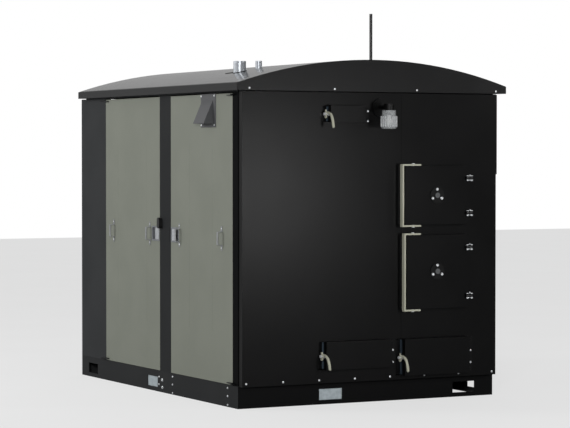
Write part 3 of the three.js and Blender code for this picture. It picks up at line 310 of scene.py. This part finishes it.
zinc = finish("zinc_plating", (0.85, 0.87, 0.89), (0.93, 0.95, 0.97), 0.4, metal=0.75, grain=0.001,
              patch=0.01)


def bolts(name, places, body, outward, head, washer=0.0, height=0.004, facets=6):
    """Zinc-plated bolt or screw heads at places on a face, each on a domed washer."""
    grow(name, head_tree, places, body, "steel", outward=outward, head_radius=head,
         head_height=height, washer_radius=washer or head * WASHER_TO_HEAD["radius"],
         washer_height=height * WASHER_TO_HEAD["height"], facets=facets, finish=zinc)


FRONT_WEB = 0.0015


def front_web(x, y, z):
    return y < FRONT_WEB


skid_paint = finish("skid_paint", (0.022, 0.023, 0.024), (0.026, 0.027, 0.028), 0.55, specular=0.08)
dress(finish("skid_front_paint", (0.019, 0.02, 0.021), (0.023, 0.024, 0.025), 0.55, specular=0.08,
             zones=[(front_web, (0.0035, 0.0036, 0.0038), 0.5, 0.0)]), "skid_front_rail")
dress(skid_paint, "skid_rear_rail", "skid_left_rail_front", "skid_left_rail_rear",
      "skid_right_rail", "floor_pan")
LEFTWARD = (-1.0, 0.0, 0.0)
RIGHTWARD = (1.0, 0.0, 0.0)
FORWARD = (0.0, -1.0, 0.0)
REARWARD = (0.0, 1.0, 0.0)
bolts("module_bolts", [at(0, 1.291, 0.093), at(0, 1.287, 0.038)], "boiler", LEFTWARD,
      head=0.009, washer=0.012, height=0.007)
SKID_BOLTS = [(1.349, 0.114), (1.349, 0.057), (1.104, 0.135), (1.104, 0.075), (1.104, 0.012),
              (0.166, 0.136), (0.166, 0.077), (0.166, 0.015)]
RAIL_BOLT = dict(head=0.0055, washer=0.0075, height=0.005)
SKID_WIDTH = 2.13
bolts("rail_bolts", [at(0, y, z) for y, z in SKID_BOLTS], "boiler", LEFTWARD, **RAIL_BOLT)
bolts("rail_bolts_right", [at(SKID_WIDTH, y, z) for y, z in SKID_BOLTS[2:]], "boiler", RIGHTWARD,
      **RAIL_BOLT)

# ---------------------------------------------------------------------------------------------
# Fork pocket covers: plain pale sheets behind the front left and the left front pocket, each held
# against the rail's web from inside. Their pale grey is painted light: the bright backdrop seen
# through the open pockets.
# Pale grey: the blower wheel's own galvanised finish, and on the fork covers painted light for the
# backdrop seen through the pockets.
galvanised_and_painted_light = finish("galvanised_sheet", (0.4, 0.46, 0.49), (0.5, 0.56, 0.59), 0.45, metal=0.3,
                    patch=0.03)
dress(galvanised_and_painted_light, "fork_cover_front", "fork_cover_left")

# ---------------------------------------------------------------------------------------------
# Boiler body: two welded vessels of heat-darkened plate. Their door throats come through the front
# skin: black outside, and bare bluish plate on the left face of each small throat.
SMALL_THROATS = {
    "brush": (0.697, 2.041, 2.147), "ash_left": (0.663, 0.262, 0.452),
    "ash_right": (1.314, 0.193, 0.448),
}
THROAT_WALL = 0.007
THROAT_FRONT = -0.0605
SKIN_BACK = -0.002


def bare_throat(label):
    """The left wall of a small door's throat, from the skin to the throat's rim."""
    left, low, high = SMALL_THROATS[label]
    return lambda x, y, z: (
        (abs(x - left) < THROAT_WALL) * (y < SKIN_BACK) * (z > low) * (z < high)
        * (y > THROAT_FRONT))


BLUE_PLATE = ((0.07, 0.095, 0.12), 0.4, 0.4)
BLACK_FRONT = ((0.0022, 0.0022, 0.0023), 0.45, 0.0)


def before_skin(x, y, z):
    return y < SKIN_BACK


vessel_look = dict(dark=(0.02, 0.019, 0.018), light=(0.035, 0.032, 0.03), rough=0.6, metal=0.3,
                   specular=0.17, patch=0.2)
dress(finish("firebox_plate", **vessel_look,
             zones=[(before_skin, *BLACK_FRONT), (bare_throat("ash_right"), *BLUE_PLATE)]),
      "firebox_vessel")
dress(finish("exchanger_plate", **vessel_look,
             zones=[(before_skin, *BLACK_FRONT), (bare_throat("ash_left"), *BLUE_PLATE),
                    (bare_throat("brush"), *BLUE_PLATE)]), "heat_exchanger")

# ---------------------------------------------------------------------------------------------
# Service compartment: grey enamelled blower and control box, a green pump casting and bare pipes,
# with bolts round the flanges and screws in the box's lid.
grey_enamel = finish("grey_enamel", (0.24, 0.26, 0.27), (0.28, 0.3, 0.31), 0.4)
dress(grey_enamel, "blower_housing", "control_box")
dress(galvanised_and_painted_light, "blower_wheel")
pump_paint = finish("pump_paint", (0.03, 0.09, 0.07), (0.04, 0.11, 0.09), 0.4)
dress(pump_paint, "pump")
stainless = finish("stainless", (0.42, 0.43, 0.45), (0.52, 0.53, 0.55), 0.3, metal=0.9, patch=0.02)
dress(stainless, "supply_pipe", "return_pipe")
lid_low, lid_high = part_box("control_box")
LID_INSET = 0.02
lid_screws = [Vector((lid_low.x, y, z)) for y in (lid_low.y + LID_INSET, lid_high.y - LID_INSET)
              for z in (lid_low.z + LID_INSET, (lid_low.z + lid_high.z) / 2, lid_high.z - LID_INSET)]
bolts("control_box_screws", lid_screws, "boiler", LEFTWARD, 0.004, height=0.002, facets=16)


def bolt_circle(x, y, z, radius, first, count):
    """Places on an upright circle that faces the front, from an angle in degrees."""
    turns = [math.radians(first + 360 * i / count) for i in range(count)]
    return [at(x + radius * math.cos(turn), y, z + radius * math.sin(turn)) for turn in turns]


PUMP_FLANGE = {"x": 0.47, "y": 2.1673, "z": 0.9, "radius": 0.04}
bolts("pump_flange_bolts", bolt_circle(**PUMP_FLANGE, first=45, count=4), "boiler", REARWARD, 0.006,
      height=0.005)

# ---------------------------------------------------------------------------------------------
# Left wall: folded posts, the rear panel and the header rail in dark grey powder coat. The corner
# post turns into the front skin and is nearly black, and the posts' pivot plates are black.
wall_look = dict(dark=(0.03, 0.032, 0.0335), light=(0.037, 0.039, 0.0405), rough=0.55,
                 specular=0.08)
post_coat = finish("post_powder_coat", (0.018, 0.019, 0.02), (0.022, 0.023, 0.024), 0.55,
                   specular=0.08)
corner_coat = finish("corner_powder_coat", (0.004, 0.0043, 0.0046), (0.005, 0.0053, 0.0056), 0.55,
                     specular=0.02)
PLATE_FACE = -0.0008


def pivot_plate(x, y, z):
    return x < PLATE_FACE


PLATE_ZONE = (pivot_plate, (0.009, 0.009, 0.0095), 0.4, 0.0)
dress(finish("rear_panel_coat", **wall_look, zones=[PLATE_ZONE]), "rear_left_panel")
dress(finish("wall_powder_coat", **wall_look), "side_header")
dress(post_coat, "centre_post_front", "centre_post_rear")
dress(corner_coat, "corner_post")
# Near black: the front seam, the storm collar and the flat bar on the roof; on the strike slot it is
# painted shade.
dark_gap = finish("dark_gap", (0.001, 0.001, 0.001), (0.002, 0.002, 0.002), 0.7, specular=0.05)


def add_piece(name, shape, material, body, smooth=False):
    """Makes a plain mesh piece of a bmesh and rides it on a body."""
    mesh = bpy.data.meshes.new(name)
    shape.to_mesh(mesh)
    shape.free()
    if smooth:
        mesh.polygons.foreach_set("use_smooth", [True] * len(mesh.polygons))
    mesh.materials.append(material)
    piece = bpy.data.objects.new(name, mesh)
    bpy.context.scene.collection.objects.link(piece)
    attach(piece, body)


def plate(name, low, high, bevel, material, body):
    """A flat plate with softened edges between two corners."""
    shape = bmesh.new()
    bmesh.ops.create_cube(shape, size=1.0)
    size = high - low
    for vertex in shape.verts:
        vertex.co = low + Vector([(vertex.co[i] + 0.5) * size[i] for i in range(3)])
    bmesh.ops.bevel(shape, geom=shape.edges[:], offset=bevel, segments=2, affect="EDGES",
                    profile=0.5)
    add_piece(name, shape, material, body)


# A near-black plate on the centre post stands for the latch's strike slot: painted shade in the
# slot.
STRIKE = {"low": (-0.001, 1.137, 1.15), "high": (0.0002, 1.149, 1.255), "bevel": 0.0004}
plate("strike_slot", at(*STRIKE["low"]), at(*STRIKE["high"]), STRIKE["bevel"], dark_gap, "boiler")

# ---------------------------------------------------------------------------------------------
# Right and rear walls: plain black sheet, held along their lower edge and laps by the same screws
# as the front.
black_look = dict(dark=(0.0018, 0.0018, 0.0019), light=(0.0024, 0.0024, 0.0025), rough=0.32,
                  specular=0.17)
black_coat = finish("black_powder_coat", **black_look)
dress(black_coat, "right_wall_lower", "right_wall_upper", "rear_wall")
WALL_SCREW = dict(head=0.005, washer=0.0075, height=0.004)
SKIRT_ROW = 0.181
SIDE_ROW = [0.15 + 0.367 * i for i in range(8)]
for name, wall, level in (("right_wall_screws", "right_wall_lower", SKIRT_ROW),
                          ("right_lap_screws", "right_wall_upper", 1.678)):
    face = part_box(wall)[1].x
    bolts(name, [Vector((face, FOOT.y + y, level)) for y in SIDE_ROW], "boiler", RIGHTWARD,
          **WALL_SCREW)
REAR_ROW = [0.044, 0.384, 0.728, 1.07, 1.413, 1.755, 2.08]
rear_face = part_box("rear_wall")[1].y
bolts("rear_wall_screws",
      [Vector((FOOT.x + x, rear_face, z)) for x in REAR_ROW for z in (SKIRT_ROW, 2.22)], "boiler",
      REARWARD, **WALL_SCREW)

# ---------------------------------------------------------------------------------------------
# Front skin: two folded trays of sheet steel in black satin powder coat, screwed to the skid along
# their lower edge. The seam between them is a dark line down the firebox half.
dress(black_coat, "front_sheet_left", "front_sheet_right")
SKIN_FACE = -0.055
SEAM = {"half": 0.0014, "proud": 0.0003, "low": 0.165, "high": 2.235}
seam_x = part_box("front_sheet_right")[0].x - FOOT.x
plate("front_seam", at(seam_x - SEAM["half"], SKIN_FACE - SEAM["proud"], SEAM["low"]),
      at(seam_x + SEAM["half"], SKIN_FACE + 0.0001, SEAM["high"]), 0.0001, dark_gap, "boiler")
FRONT_SCREW = dict(head=0.0055, washer=0.008, height=0.004)
BOTTOM_ROW = [0.037, 0.331, 0.623, 0.917, 1.211, 1.503, 1.797, 2.09]
bolts("front_skin_screws", [at(x, SKIN_FACE, SKIRT_ROW) for x in BOTTOM_ROW], "boiler", FORWARD,
      **FRONT_SCREW)

# ---------------------------------------------------------------------------------------------
# Roof: one curved sheet with folded fascias in glossy black, duller on the left fascia, and a gable
# plate under each end, held by four screws.
LEFT_FASCIA = -0.035


def left_fascia(x, y, z):
    return x < LEFT_FASCIA


dress(finish("roof_gloss", (0.012, 0.0125, 0.013), (0.016, 0.0165, 0.017), 0.2, coat=0.3,
             specular=0.3, peel=0.05, zones=[(left_fascia, (0.008, 0.0085, 0.009), 0.75, 0.0)]),
      "roof")
# The gables are painted lighter than the black skin: painted light, for the top light that their
# face catches.
dress(finish("gable_coat", (0.004, 0.004, 0.0042), (0.006, 0.006, 0.0062), 0.36, specular=0.25),
      "front_gable", "rear_gable")
GABLE_ROW = [0.044, 0.728, 1.413, 2.096]
GABLE_LEVEL = 2.271
for end, face, outward in (("front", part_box("front_gable")[0].y, FORWARD),
                           ("rear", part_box("rear_gable")[1].y, REARWARD)):
    bolts(end + "_gable_screws", [Vector((FOOT.x + x, face, GABLE_LEVEL)) for x in GABLE_ROW],
          "boiler", outward, **FRONT_SCREW)

# ---------------------------------------------------------------------------------------------
# Roof pipes: two short stubs of thin bright steel tube, the larger one with a black storm collar
# where it meets the roof, and a flat near-black bar on the roof sheet that runs up to it.
dress(finish("flue_steel", (0.46, 0.49, 0.53), (0.55, 0.58, 0.62), 0.4, metal=0.35, patch=0.02),
      "flue_pipe", "vent_pipe")
ROOF_TOP = 2.486
ROOF_RADIUS = 3.5933
ROOF_MIDDLE = 1.065
COLLAR = {"x": 0.335, "y": 0.645, "radius": 0.0478, "rope": 0.0022, "lift": 0.001, "steps": 40,
          "sides": 8}


def roof_height(x):
    """The height of the roof's upper face at this distance from the left side."""
    return ROOF_TOP - ROOF_RADIUS + math.sqrt(ROOF_RADIUS ** 2 - (x - ROOF_MIDDLE) ** 2)


def storm_collar():
    """A ring round the pipe that follows the slope of the roof."""
    shape = bmesh.new()
    rings = []
    for i in range(COLLAR["steps"]):
        turn = 2 * math.pi * i / COLLAR["steps"]
        ring = []
        for j in range(COLLAR["sides"]):
            around = 2 * math.pi * j / COLLAR["sides"]
            radius = COLLAR["radius"] + COLLAR["rope"] * (1 + math.cos(around))
            x = COLLAR["x"] + radius * math.cos(turn)
            y = COLLAR["y"] + radius * math.sin(turn)
            height = roof_height(x) + COLLAR["rope"] * math.sin(around) + COLLAR["lift"]
            ring.append(shape.verts.new(at(x, y, height)))
        rings.append(ring)
    for i, ring in enumerate(rings):
        after = rings[(i + 1) % len(rings)]
        for j in range(COLLAR["sides"]):
            k = (j + 1) % COLLAR["sides"]
            shape.faces.new((ring[j], after[j], after[k], ring[k]))
    bmesh.ops.recalc_face_normals(shape, faces=shape.faces[:])
    add_piece("storm_collar", shape, dark_gap, "boiler")


storm_collar()
ROOF_BAR = {"start": (0.294, 0.791), "end": (0.325, 0.694), "width": 0.016, "thick": 0.003,
       "sunk": 0.0003, "steps": 6}


def dark_roof_bar():
    """A flat bar on the roof sheet that runs up to the pipe's wall."""
    shape = bmesh.new()
    (x0, y0), (x1, y1) = ROOF_BAR["start"], ROOF_BAR["end"]
    length = math.hypot(x1 - x0, y1 - y0)
    across = ((y0 - y1) / length * ROOF_BAR["width"] / 2, (x1 - x0) / length * ROOF_BAR["width"] / 2)
    rows = []
    for i in range(ROOF_BAR["steps"] + 1):
        share = i / ROOF_BAR["steps"]
        x = x0 + (x1 - x0) * share
        y = y0 + (y1 - y0) * share
        row = []
        for side, lift in ((-1, 0), (1, 0), (1, 1), (-1, 1)):
            px = x + side * across[0]
            py = y + side * across[1]
            height = roof_height(px) - ROOF_BAR["sunk"] + lift * ROOF_BAR["thick"]
            row.append(shape.verts.new(at(px, py, height)))
        rows.append(row)
    for row, after in zip(rows, rows[1:]):
        for j in range(4):
            k = (j + 1) % 4
            shape.faces.new((row[j], row[k], after[k], after[j]))
    shape.faces.new(rows[0][::-1])
    shape.faces.new(rows[-1])
    bmesh.ops.recalc_face_normals(shape, faces=shape.faces[:])
    add_piece("flue_tie", shape, dark_gap, "boiler")


dark_roof_bar()

# ---------------------------------------------------------------------------------------------
# Float rod: a slim black rod that slides up and down through the roof with the water level.
dress(black_coat, "float_rod")

# ---------------------------------------------------------------------------------------------
# Service doors: tall hollow leaves in olive grey powder coat, hung on black pivot plates, each with
# two pressed creases down its face.
olive_look = dict(dark=(0.2, 0.212, 0.176), light=(0.216, 0.228, 0.19), rough=0.5, specular=0.3)
dress(finish("olive_powder_coat", **olive_look, zones=[PLATE_ZONE]), "side_door_front",
      "side_door_rear")
crease_tree, given = node_tree("creases", {
    "Length": "Float", "Width": "Float", "Proud": "Float", "Finish": "Material"})
bead = given["Geometry"].node("GeometryNodeMeshCylinder", {
    "Vertices": 12, "Radius": given["Width"] * 0.5, "Depth": given["Length"]})
flat = given["Proud"].node("ShaderNodeCombineXYZ", {
    0: given["Proud"] / (given["Width"] * 0.5), 1: 1.0, 2: 1.0})
pressed = bead.node("GeometryNodeTransform", {"Geometry": bead, "Scale": flat})
close_tree(pressed.node("GeometryNodeInstanceOnPoints", {
    "Points": given["Geometry"], "Instance": pressed}), given)
CREASE_MIDDLE = 1.201
CREASE = dict(length=1.348, width=0.007, proud=0.0011, finish=finish("olive_crease", **olive_look))
for end, places in (("front", (0.414, 0.806)), ("rear", (1.576, 2.129))):
    grow("creases_" + end, crease_tree, [at(0, y, CREASE_MIDDLE) for y in places],
         "service_door_" + end, "olive", **CREASE)

# ---------------------------------------------------------------------------------------------
# Pulls: four bent strips of dull plated steel, two on each service door, each held by a rivet
# through both of its tabs.
pull_steel = finish("pull_steel", (0.26, 0.27, 0.275), (0.33, 0.34, 0.345), 0.5, metal=0.2,
                    specular=0.3, patch=0.02)
dress(pull_steel, "door_pull_1", "door_pull_2", "door_pull_3", "door_pull_4")
PULL_LEVELS = (1.132, 1.271)
PULL_FACE = -0.0043
for end, places in (("front", (0.259, 0.975)), ("rear", (1.51, 2.203))):
    bolts("pull_rivets_" + end, [at(PULL_FACE, y, z) for y in places for z in PULL_LEVELS],
          "service_door_" + end, LEFTWARD, 0.0042, height=0.0025, facets=16)

# ---------------------------------------------------------------------------------------------
# Paddle latches: a pressed steel tray let into each leaf at its post side, with crossed ribs in the
# open half of the bowl and a paddle plate over the other half.
tray_steel = finish("latch_tray_steel", (0.2, 0.21, 0.225), (0.26, 0.27, 0.285), 0.4, metal=0.5,
                    patch=0.02)
paddle_steel = finish("latch_paddle_steel", (0.5, 0.52, 0.54), (0.6, 0.62, 0.64), 0.35, metal=0.5,
                      patch=0.02)
dress(tray_steel, "latch_tray_front", "latch_tray_rear")
dress(paddle_steel, "latch_paddle_front", "latch_paddle_rear")
RIB = {"floor": 0.0215, "sunk": 0.0002, "proud": 0.0012, "half": 0.0022, "z": (1.16, 1.244)}


def crossed_ribs(name, ends, body):
    """Two flat ribs from corner to corner of the open half of a bowl."""
    shape = bmesh.new()
    low, high = RIB["z"]
    back = RIB["floor"] + RIB["sunk"]
    for first, last in (((ends[0], low), (ends[1], high)), ((ends[0], high), (ends[1], low))):
        length = math.hypot(last[0] - first[0], last[1] - first[1])
        side = ((first[1] - last[1]) / length * RIB["half"],
                (last[0] - first[0]) / length * RIB["half"])
        outline = [(first[0] - side[0], first[1] - side[1]), (last[0] - side[0], last[1] - side[1]),
                   (last[0] + side[0], last[1] + side[1]), (first[0] + side[0], first[1] + side[1])]
        under = [shape.verts.new(at(back, y, z)) for y, z in outline]
        face = [shape.verts.new(at(RIB["floor"] - RIB["proud"], y, z)) for y, z in outline]
        shape.faces.new(under)
        shape.faces.new(face[::-1])
        for i in range(4):
            j = (i + 1) % 4
            shape.faces.new((under[i], face[i], face[j], under[j]))
    bmesh.ops.recalc_face_normals(shape, faces=shape.faces[:])
    add_piece(name, shape, paddle_steel, body)


crossed_ribs("latch_ribs_front", (1.003, 1.044), "service_door_front")
crossed_ribs("latch_ribs_rear", (1.418, 1.459), "service_door_rear")

# ---------------------------------------------------------------------------------------------
# Cap: a small oval cover of black plastic on the centre post, above the two latches.
black_plastic = finish("black_plastic", (0.006, 0.006, 0.006), (0.009, 0.009, 0.009), 0.35)
dress(black_plastic, "key_cap")

# ---------------------------------------------------------------------------------------------
# Vent hood: a folded grey cover over the air inlet of the front leaf, on a flat flange with a screw
# in each corner.
hood_coat = finish("hood_coat", (0.062, 0.064, 0.068), (0.074, 0.076, 0.08), 0.5)
dress(hood_coat, "vent_hood")
HOOD_FACE = -0.0033
HOOD_CORNERS = [(0.594, 2.225), (0.379, 2.225), (0.594, 2.014), (0.378, 2.014)]
bolts("hood_screws", [at(HOOD_FACE, y, z) for y, z in HOOD_CORNERS], "service_door_front", LEFTWARD,
      head=0.005, washer=0.007, height=0.003)

# ---------------------------------------------------------------------------------------------
# Lamp: a round black back plate on the front skin with an arm and socket, and a clear ribbed jar
# round the bulb.
lamp_black = finish("lamp_black", (0.002, 0.002, 0.002), (0.003, 0.003, 0.003), 0.35, specular=0.15)
dress(lamp_black, "lamp_base")


def clear_glass(name, tint, alpha, rough):
    """Glass as a thin clear coat: mostly transparent, slightly uneven."""
    material = bpy.data.materials.new(name)
    material.use_nodes = True
    tree = material.node_tree
    shader = tree.nodes["Principled BSDF"]
    shader.inputs["IOR"].default_value = 1.5
    place = Wire(tree).node("ShaderNodeTexCoord", output="Object")
    cloud = place.node("ShaderNodeTexNoise", {"Vector": place, "Scale": 60.0, "Detail": 2.0})
    tone = cloud.ramp(0.3, 0.7).mix(tint, [min(1.0, part * 1.1) for part in tint])
    tree.links.new(tone.socket, shader.inputs["Base Color"])
    tree.links.new((alpha - 0.06 + 0.12 * cloud).socket, shader.inputs["Alpha"])
    tree.links.new((rough + 0.04 * cloud).socket, shader.inputs["Roughness"])
    return material


dress(clear_glass("jar_glass", (0.6, 0.62, 0.63), 0.3, 0.05), "lamp_jar")
JAR = {"x": 1.123, "y": -0.186, "radius": 0.061, "low": 2.003, "high": 2.077, "ribs": 20,
       "rib": 0.0032, "sunk": 1.05}
rib_tree, given = node_tree("jar_ribs", {
    "Count": "Int", "Radius": "Float", "Length": "Float", "Rib Radius": "Float",
    "Finish": "Material"})
ring = given["Geometry"].node("GeometryNodeMeshCircle", {
    "Vertices": given["Count"], "Radius": given["Radius"]})
stick = ring.node("GeometryNodeMeshCylinder", {
    "Vertices": 8, "Radius": given["Rib Radius"], "Depth": given["Length"]})
ribs = ring.node("GeometryNodeInstanceOnPoints", {"Points": ring, "Instance": stick})
close_tree(ribs.node("GeometryNodeInstanceOnPoints", {
    "Points": given["Geometry"], "Instance": ribs}), given)
rib_glass = clear_glass("rib_glass", (0.8, 0.81, 0.82), 0.45, 0.06)
grow("jar_ribs", rib_tree, [at(JAR["x"], JAR["y"], (JAR["low"] + JAR["high"]) / 2)], "boiler",
     "glass", count=JAR["ribs"], radius=JAR["radius"] - JAR["rib"] * JAR["sunk"],
     length=JAR["high"] - JAR["low"], rib_radius=JAR["rib"], finish=rib_glass)
BULB = [(0.0, 2.012), (0.012, 2.014), (0.022, 2.022), (0.026, 2.034), (0.024, 2.048),
        (0.017, 2.062), (0.013, 2.074), (0.013, 2.088), (0.0, 2.0885)]


def revolve(name, profile, place, steps, material, body):
    """A turned body round an upright axis."""
    shape = bmesh.new()
    rings = []
    for radius, z in profile:
        if radius == 0:
            rings.append([shape.verts.new(at(place[0], place[1], z))])
            continue
        rings.append([
            shape.verts.new(at(place[0] + radius * math.cos(2 * math.pi * i / steps),
                               place[1] + radius * math.sin(2 * math.pi * i / steps), z))
            for i in range(steps)])
    for low, high in zip(rings, rings[1:]):
        for i in range(steps):
            j = (i + 1) % steps
            corners = [low[i % len(low)], low[j % len(low)],
                       high[j % len(high)], high[i % len(high)]]
            shape.faces.new(list(dict.fromkeys(corners)))
    bmesh.ops.recalc_face_normals(shape, faces=shape.faces[:])
    add_piece(name, shape, material, body, smooth=True)


frosted = finish("frosted_bulb", (0.8, 0.8, 0.78), (0.86, 0.86, 0.84), 0.3, grain=0.001,
                 patch=0.01)
revolve("lamp_bulb", BULB, (JAR["x"], JAR["y"]), 24, frosted, "boiler")

# ---------------------------------------------------------------------------------------------
# Firebox doors: heavy black leaves with a bolted pad, zinc bolts at the handle's pivots, a rope seal
# on the back, and floating links between the leaf and the frame.
ZINC_ZONE = ((0.8, 0.82, 0.84), 0.35, 0.6)
LEAF_EDGE = 0.002
PAD_DISC = {"radius": 0.06, "face": -0.1031}
BOSS = {"radius": 0.021, "face": -0.1101}
FIRE_DOORS = {
    "loading": {"x": (1.309, 1.857), "z": (1.29, 1.717), "pad": (1.579, 1.503),
                "hinges": (1.63, 1.372)},
    "burn": {"x": (1.325, 1.857), "z": (0.673, 1.212), "pad": (1.582, 0.945),
             "hinges": (1.12, 0.76)},
}


def fire_leaf(low, high, pad):
    """Zinc above and below the leaf, where the pivot bolts stand, and a grey boss in the pad."""
    def pivot_bolts(x, y, z):
        return (z > high + LEAF_EDGE) + (z < low - LEAF_EDGE)

    def disc(size):
        def mask(x, y, z):
            across = (x - pad[0]) * (x - pad[0]) + (z - pad[1]) * (z - pad[1])
            return (across < size["radius"] ** 2) * (y < size["face"])
        return mask

    return [(pivot_bolts, *ZINC_ZONE), (disc(PAD_DISC), (0.004, 0.004, 0.004), 0.5, 0.0),
            (disc(BOSS), (0.1, 0.103, 0.106), 0.5, 0.0)]


seal_tree, given = node_tree("rope_seal", {
    "Width": "Float", "Height": "Float", "Rope": "Float", "Thin": "Float", "Finish": "Material"})
path = given["Geometry"].node("GeometryNodeCurvePrimitiveQuadrilateral", {
    "Width": given["Width"], "Height": given["Height"]})
rounded = path.node("GeometryNodeFilletCurve", {
    "Curve": path, "Count": 5, "Radius": given["Rope"] * 2.0}, mode="POLY")
loop = rounded.node("GeometryNodeCurvePrimitiveCircle", {"Resolution": 12, "Radius": given["Rope"]})
rope = rounded.node("GeometryNodeCurveToMesh", {
    "Curve": rounded, "Profile Curve": loop, "Fill Caps": False})
thin = given["Thin"].node("ShaderNodeCombineXYZ", {0: 1.0, 1: 1.0, 2: given["Thin"]})
pressed_rope = rope.node("GeometryNodeTransform", {"Geometry": rope, "Scale": thin})
upright = pressed_rope.node("GeometryNodeTransform", {
    "Geometry": pressed_rope, "Rotation": (math.pi / 2, 0.0, 0.0)})
close_tree(upright.node("GeometryNodeInstanceOnPoints", {
    "Points": given["Geometry"], "Instance": upright}), given)
rope_white = finish("seal_rope", (0.42, 0.4, 0.36), (0.55, 0.53, 0.48), 0.85, specular=0.2,
                    grain=0.002, peel=0.6, patch=0.02)


def rope_seal(name, door, body, inset, back, depth, half_width):
    """A pressed rope that meets the rim of the throat all round."""
    (left, right), (low, high) = door["x"], door["z"]
    middle = at((left + right) / 2, back, (low + high) / 2)
    grow(name, seal_tree, [middle], body, "firebox", width=right - left - 2 * inset,
         height=high - low - 2 * inset, rope=half_width, thin=depth / half_width,
         finish=rope_white)


FIRE_SEAL = dict(inset=0.022, back=-0.062, depth=0.0046, half_width=0.006)
PAD_BOLT = {"circle": 0.044, "face": -0.11, "head": 0.0085, "height": 0.007}
for label, door in FIRE_DOORS.items():
    dress(finish(label + "_leaf_coat", **black_look, zones=fire_leaf(*door["z"], door["pad"])),
          label + "_door")
    rope_seal(label + "_door_seal", door, label + "_leaf", **FIRE_SEAL)
    centres = bolt_circle(door["pad"][0], PAD_BOLT["face"], door["pad"][1], PAD_BOLT["circle"],
                          first=90, count=3)
    bolts(label + "_pad_bolts", centres, label + "_leaf", FORWARD, PAD_BOLT["head"],
          height=PAD_BOLT["height"], facets=12)

# ---------------------------------------------------------------------------------------------
# Strap handles in light olive paint that turn on the leaves' pivot bolts, and hinge links with
# zinc-plated pin heads and a hexagon nut under each pin. Two nuts hold each hinge pad to the frame.
strap_look = dict(dark=(0.42, 0.42, 0.33), light=(0.47, 0.47, 0.38), rough=0.4)
dress(finish("strap_paint", **strap_look), "loading_door_handle", "burn_door_handle")
PIN = {"x": (1.834, 1.869), "y": -0.12, "reach": 0.0126}
PIN_NUT = {"below": 0.0176, "head": 0.0085, "height": 0.006}
PAD_NUT = {"x": 1.8895, "y": -0.0613, "aside": 0.015, "head": 0.007, "height": 0.008}
DOWNWARD = (0.0, 0.0, -1.0)


def pin_heads(level):
    """What is farther from the link's level than its plates: the heads of its pins."""
    return lambda x, y, z: abs(z - level) > PIN["reach"]


for label, door in FIRE_DOORS.items():
    for place, level in zip(("top", "bottom"), door["hinges"]):
        name = f"{label}_door_link_{place}"
        dress(finish(name + "_coat", (0.01, 0.01, 0.0105), (0.014, 0.014, 0.0145), 0.4,
                     zones=[(pin_heads(level), *ZINC_ZONE)]), name)
        ends = [at(x, PIN["y"], level - PIN_NUT["below"]) for x in PIN["x"]]
        bolts(f"{label}_pin_nuts_{place}", ends, label + "_links", DOWNWARD, PIN_NUT["head"],
              height=PIN_NUT["height"])
    nuts = [at(PAD_NUT["x"], PAD_NUT["y"], level + side * PAD_NUT["aside"])
            for level in door["hinges"] for side in (-1, 1)]
    bolts(label + "_hinge_pad_bolts", nuts, "boiler", FORWARD, PAD_NUT["head"],
          height=PAD_NUT["height"])

# ---------------------------------------------------------------------------------------------
# Cleanout doors: small black leaves on welded lugs, with a rod latch in light olive paint that turns
# on a zinc bolt, and two screws in the hinge flange.
SMALL_DOORS = {
    "brush": {"node": "brush_door", "x": (0.691, 0.979), "z": (2.035, 2.153), "bolt": 2.092,
              "screw_x": 1.02, "screws": (2.115, 2.044)},
    "ash_left": {"node": "ash_door_left", "x": (0.657, 1.196), "z": (0.256, 0.458), "bolt": 0.354,
                 "screw_x": 1.232, "screws": (0.376, 0.288)},
    "ash_right": {"node": "ash_door_right", "x": (1.308, 1.863), "z": (0.187, 0.454), "bolt": 0.319,
                  "screw_x": 1.899, "screws": (0.348, 0.26)},
}
EDGE_PLAY = 0.0003
HUB = {"y": -0.075, "radius": 0.0104}
FLANGE_FACE = -0.061
FLANGE_SCREW = dict(head=0.0065, washer=0.008, height=0.004)
SMALL_SEAL = dict(inset=0.009, back=-0.063, depth=0.0016, half_width=0.003)


def left_of(edge):
    """What stands out to the left of a leaf: the bolt of its latch."""
    return lambda x, y, z: x < edge


def round_hub(level):
    """The round hub of a rod latch, about its bolt."""
    def mask(x, y, z):
        across = (y - HUB["y"]) * (y - HUB["y"]) + (z - level) * (z - level)
        return across < HUB["radius"] ** 2
    return mask


for label, door in SMALL_DOORS.items():
    dress(finish(door["node"] + "_coat", **black_look,
                 zones=[(left_of(door["x"][0] - EDGE_PLAY), *ZINC_ZONE)]), door["node"])
    dress(finish(door["node"] + "_latch_paint", **strap_look,
                 zones=[(round_hub(door["bolt"]), *ZINC_ZONE)]), door["node"] + "_latch")
    bolts(label + "_flange_screws", [at(door["screw_x"], FLANGE_FACE, z) for z in door["screws"]],
          "boiler", FORWARD, **FLANGE_SCREW)
    rope_seal(label + "_door_seal", door, label + "_leaf", **SMALL_SEAL)
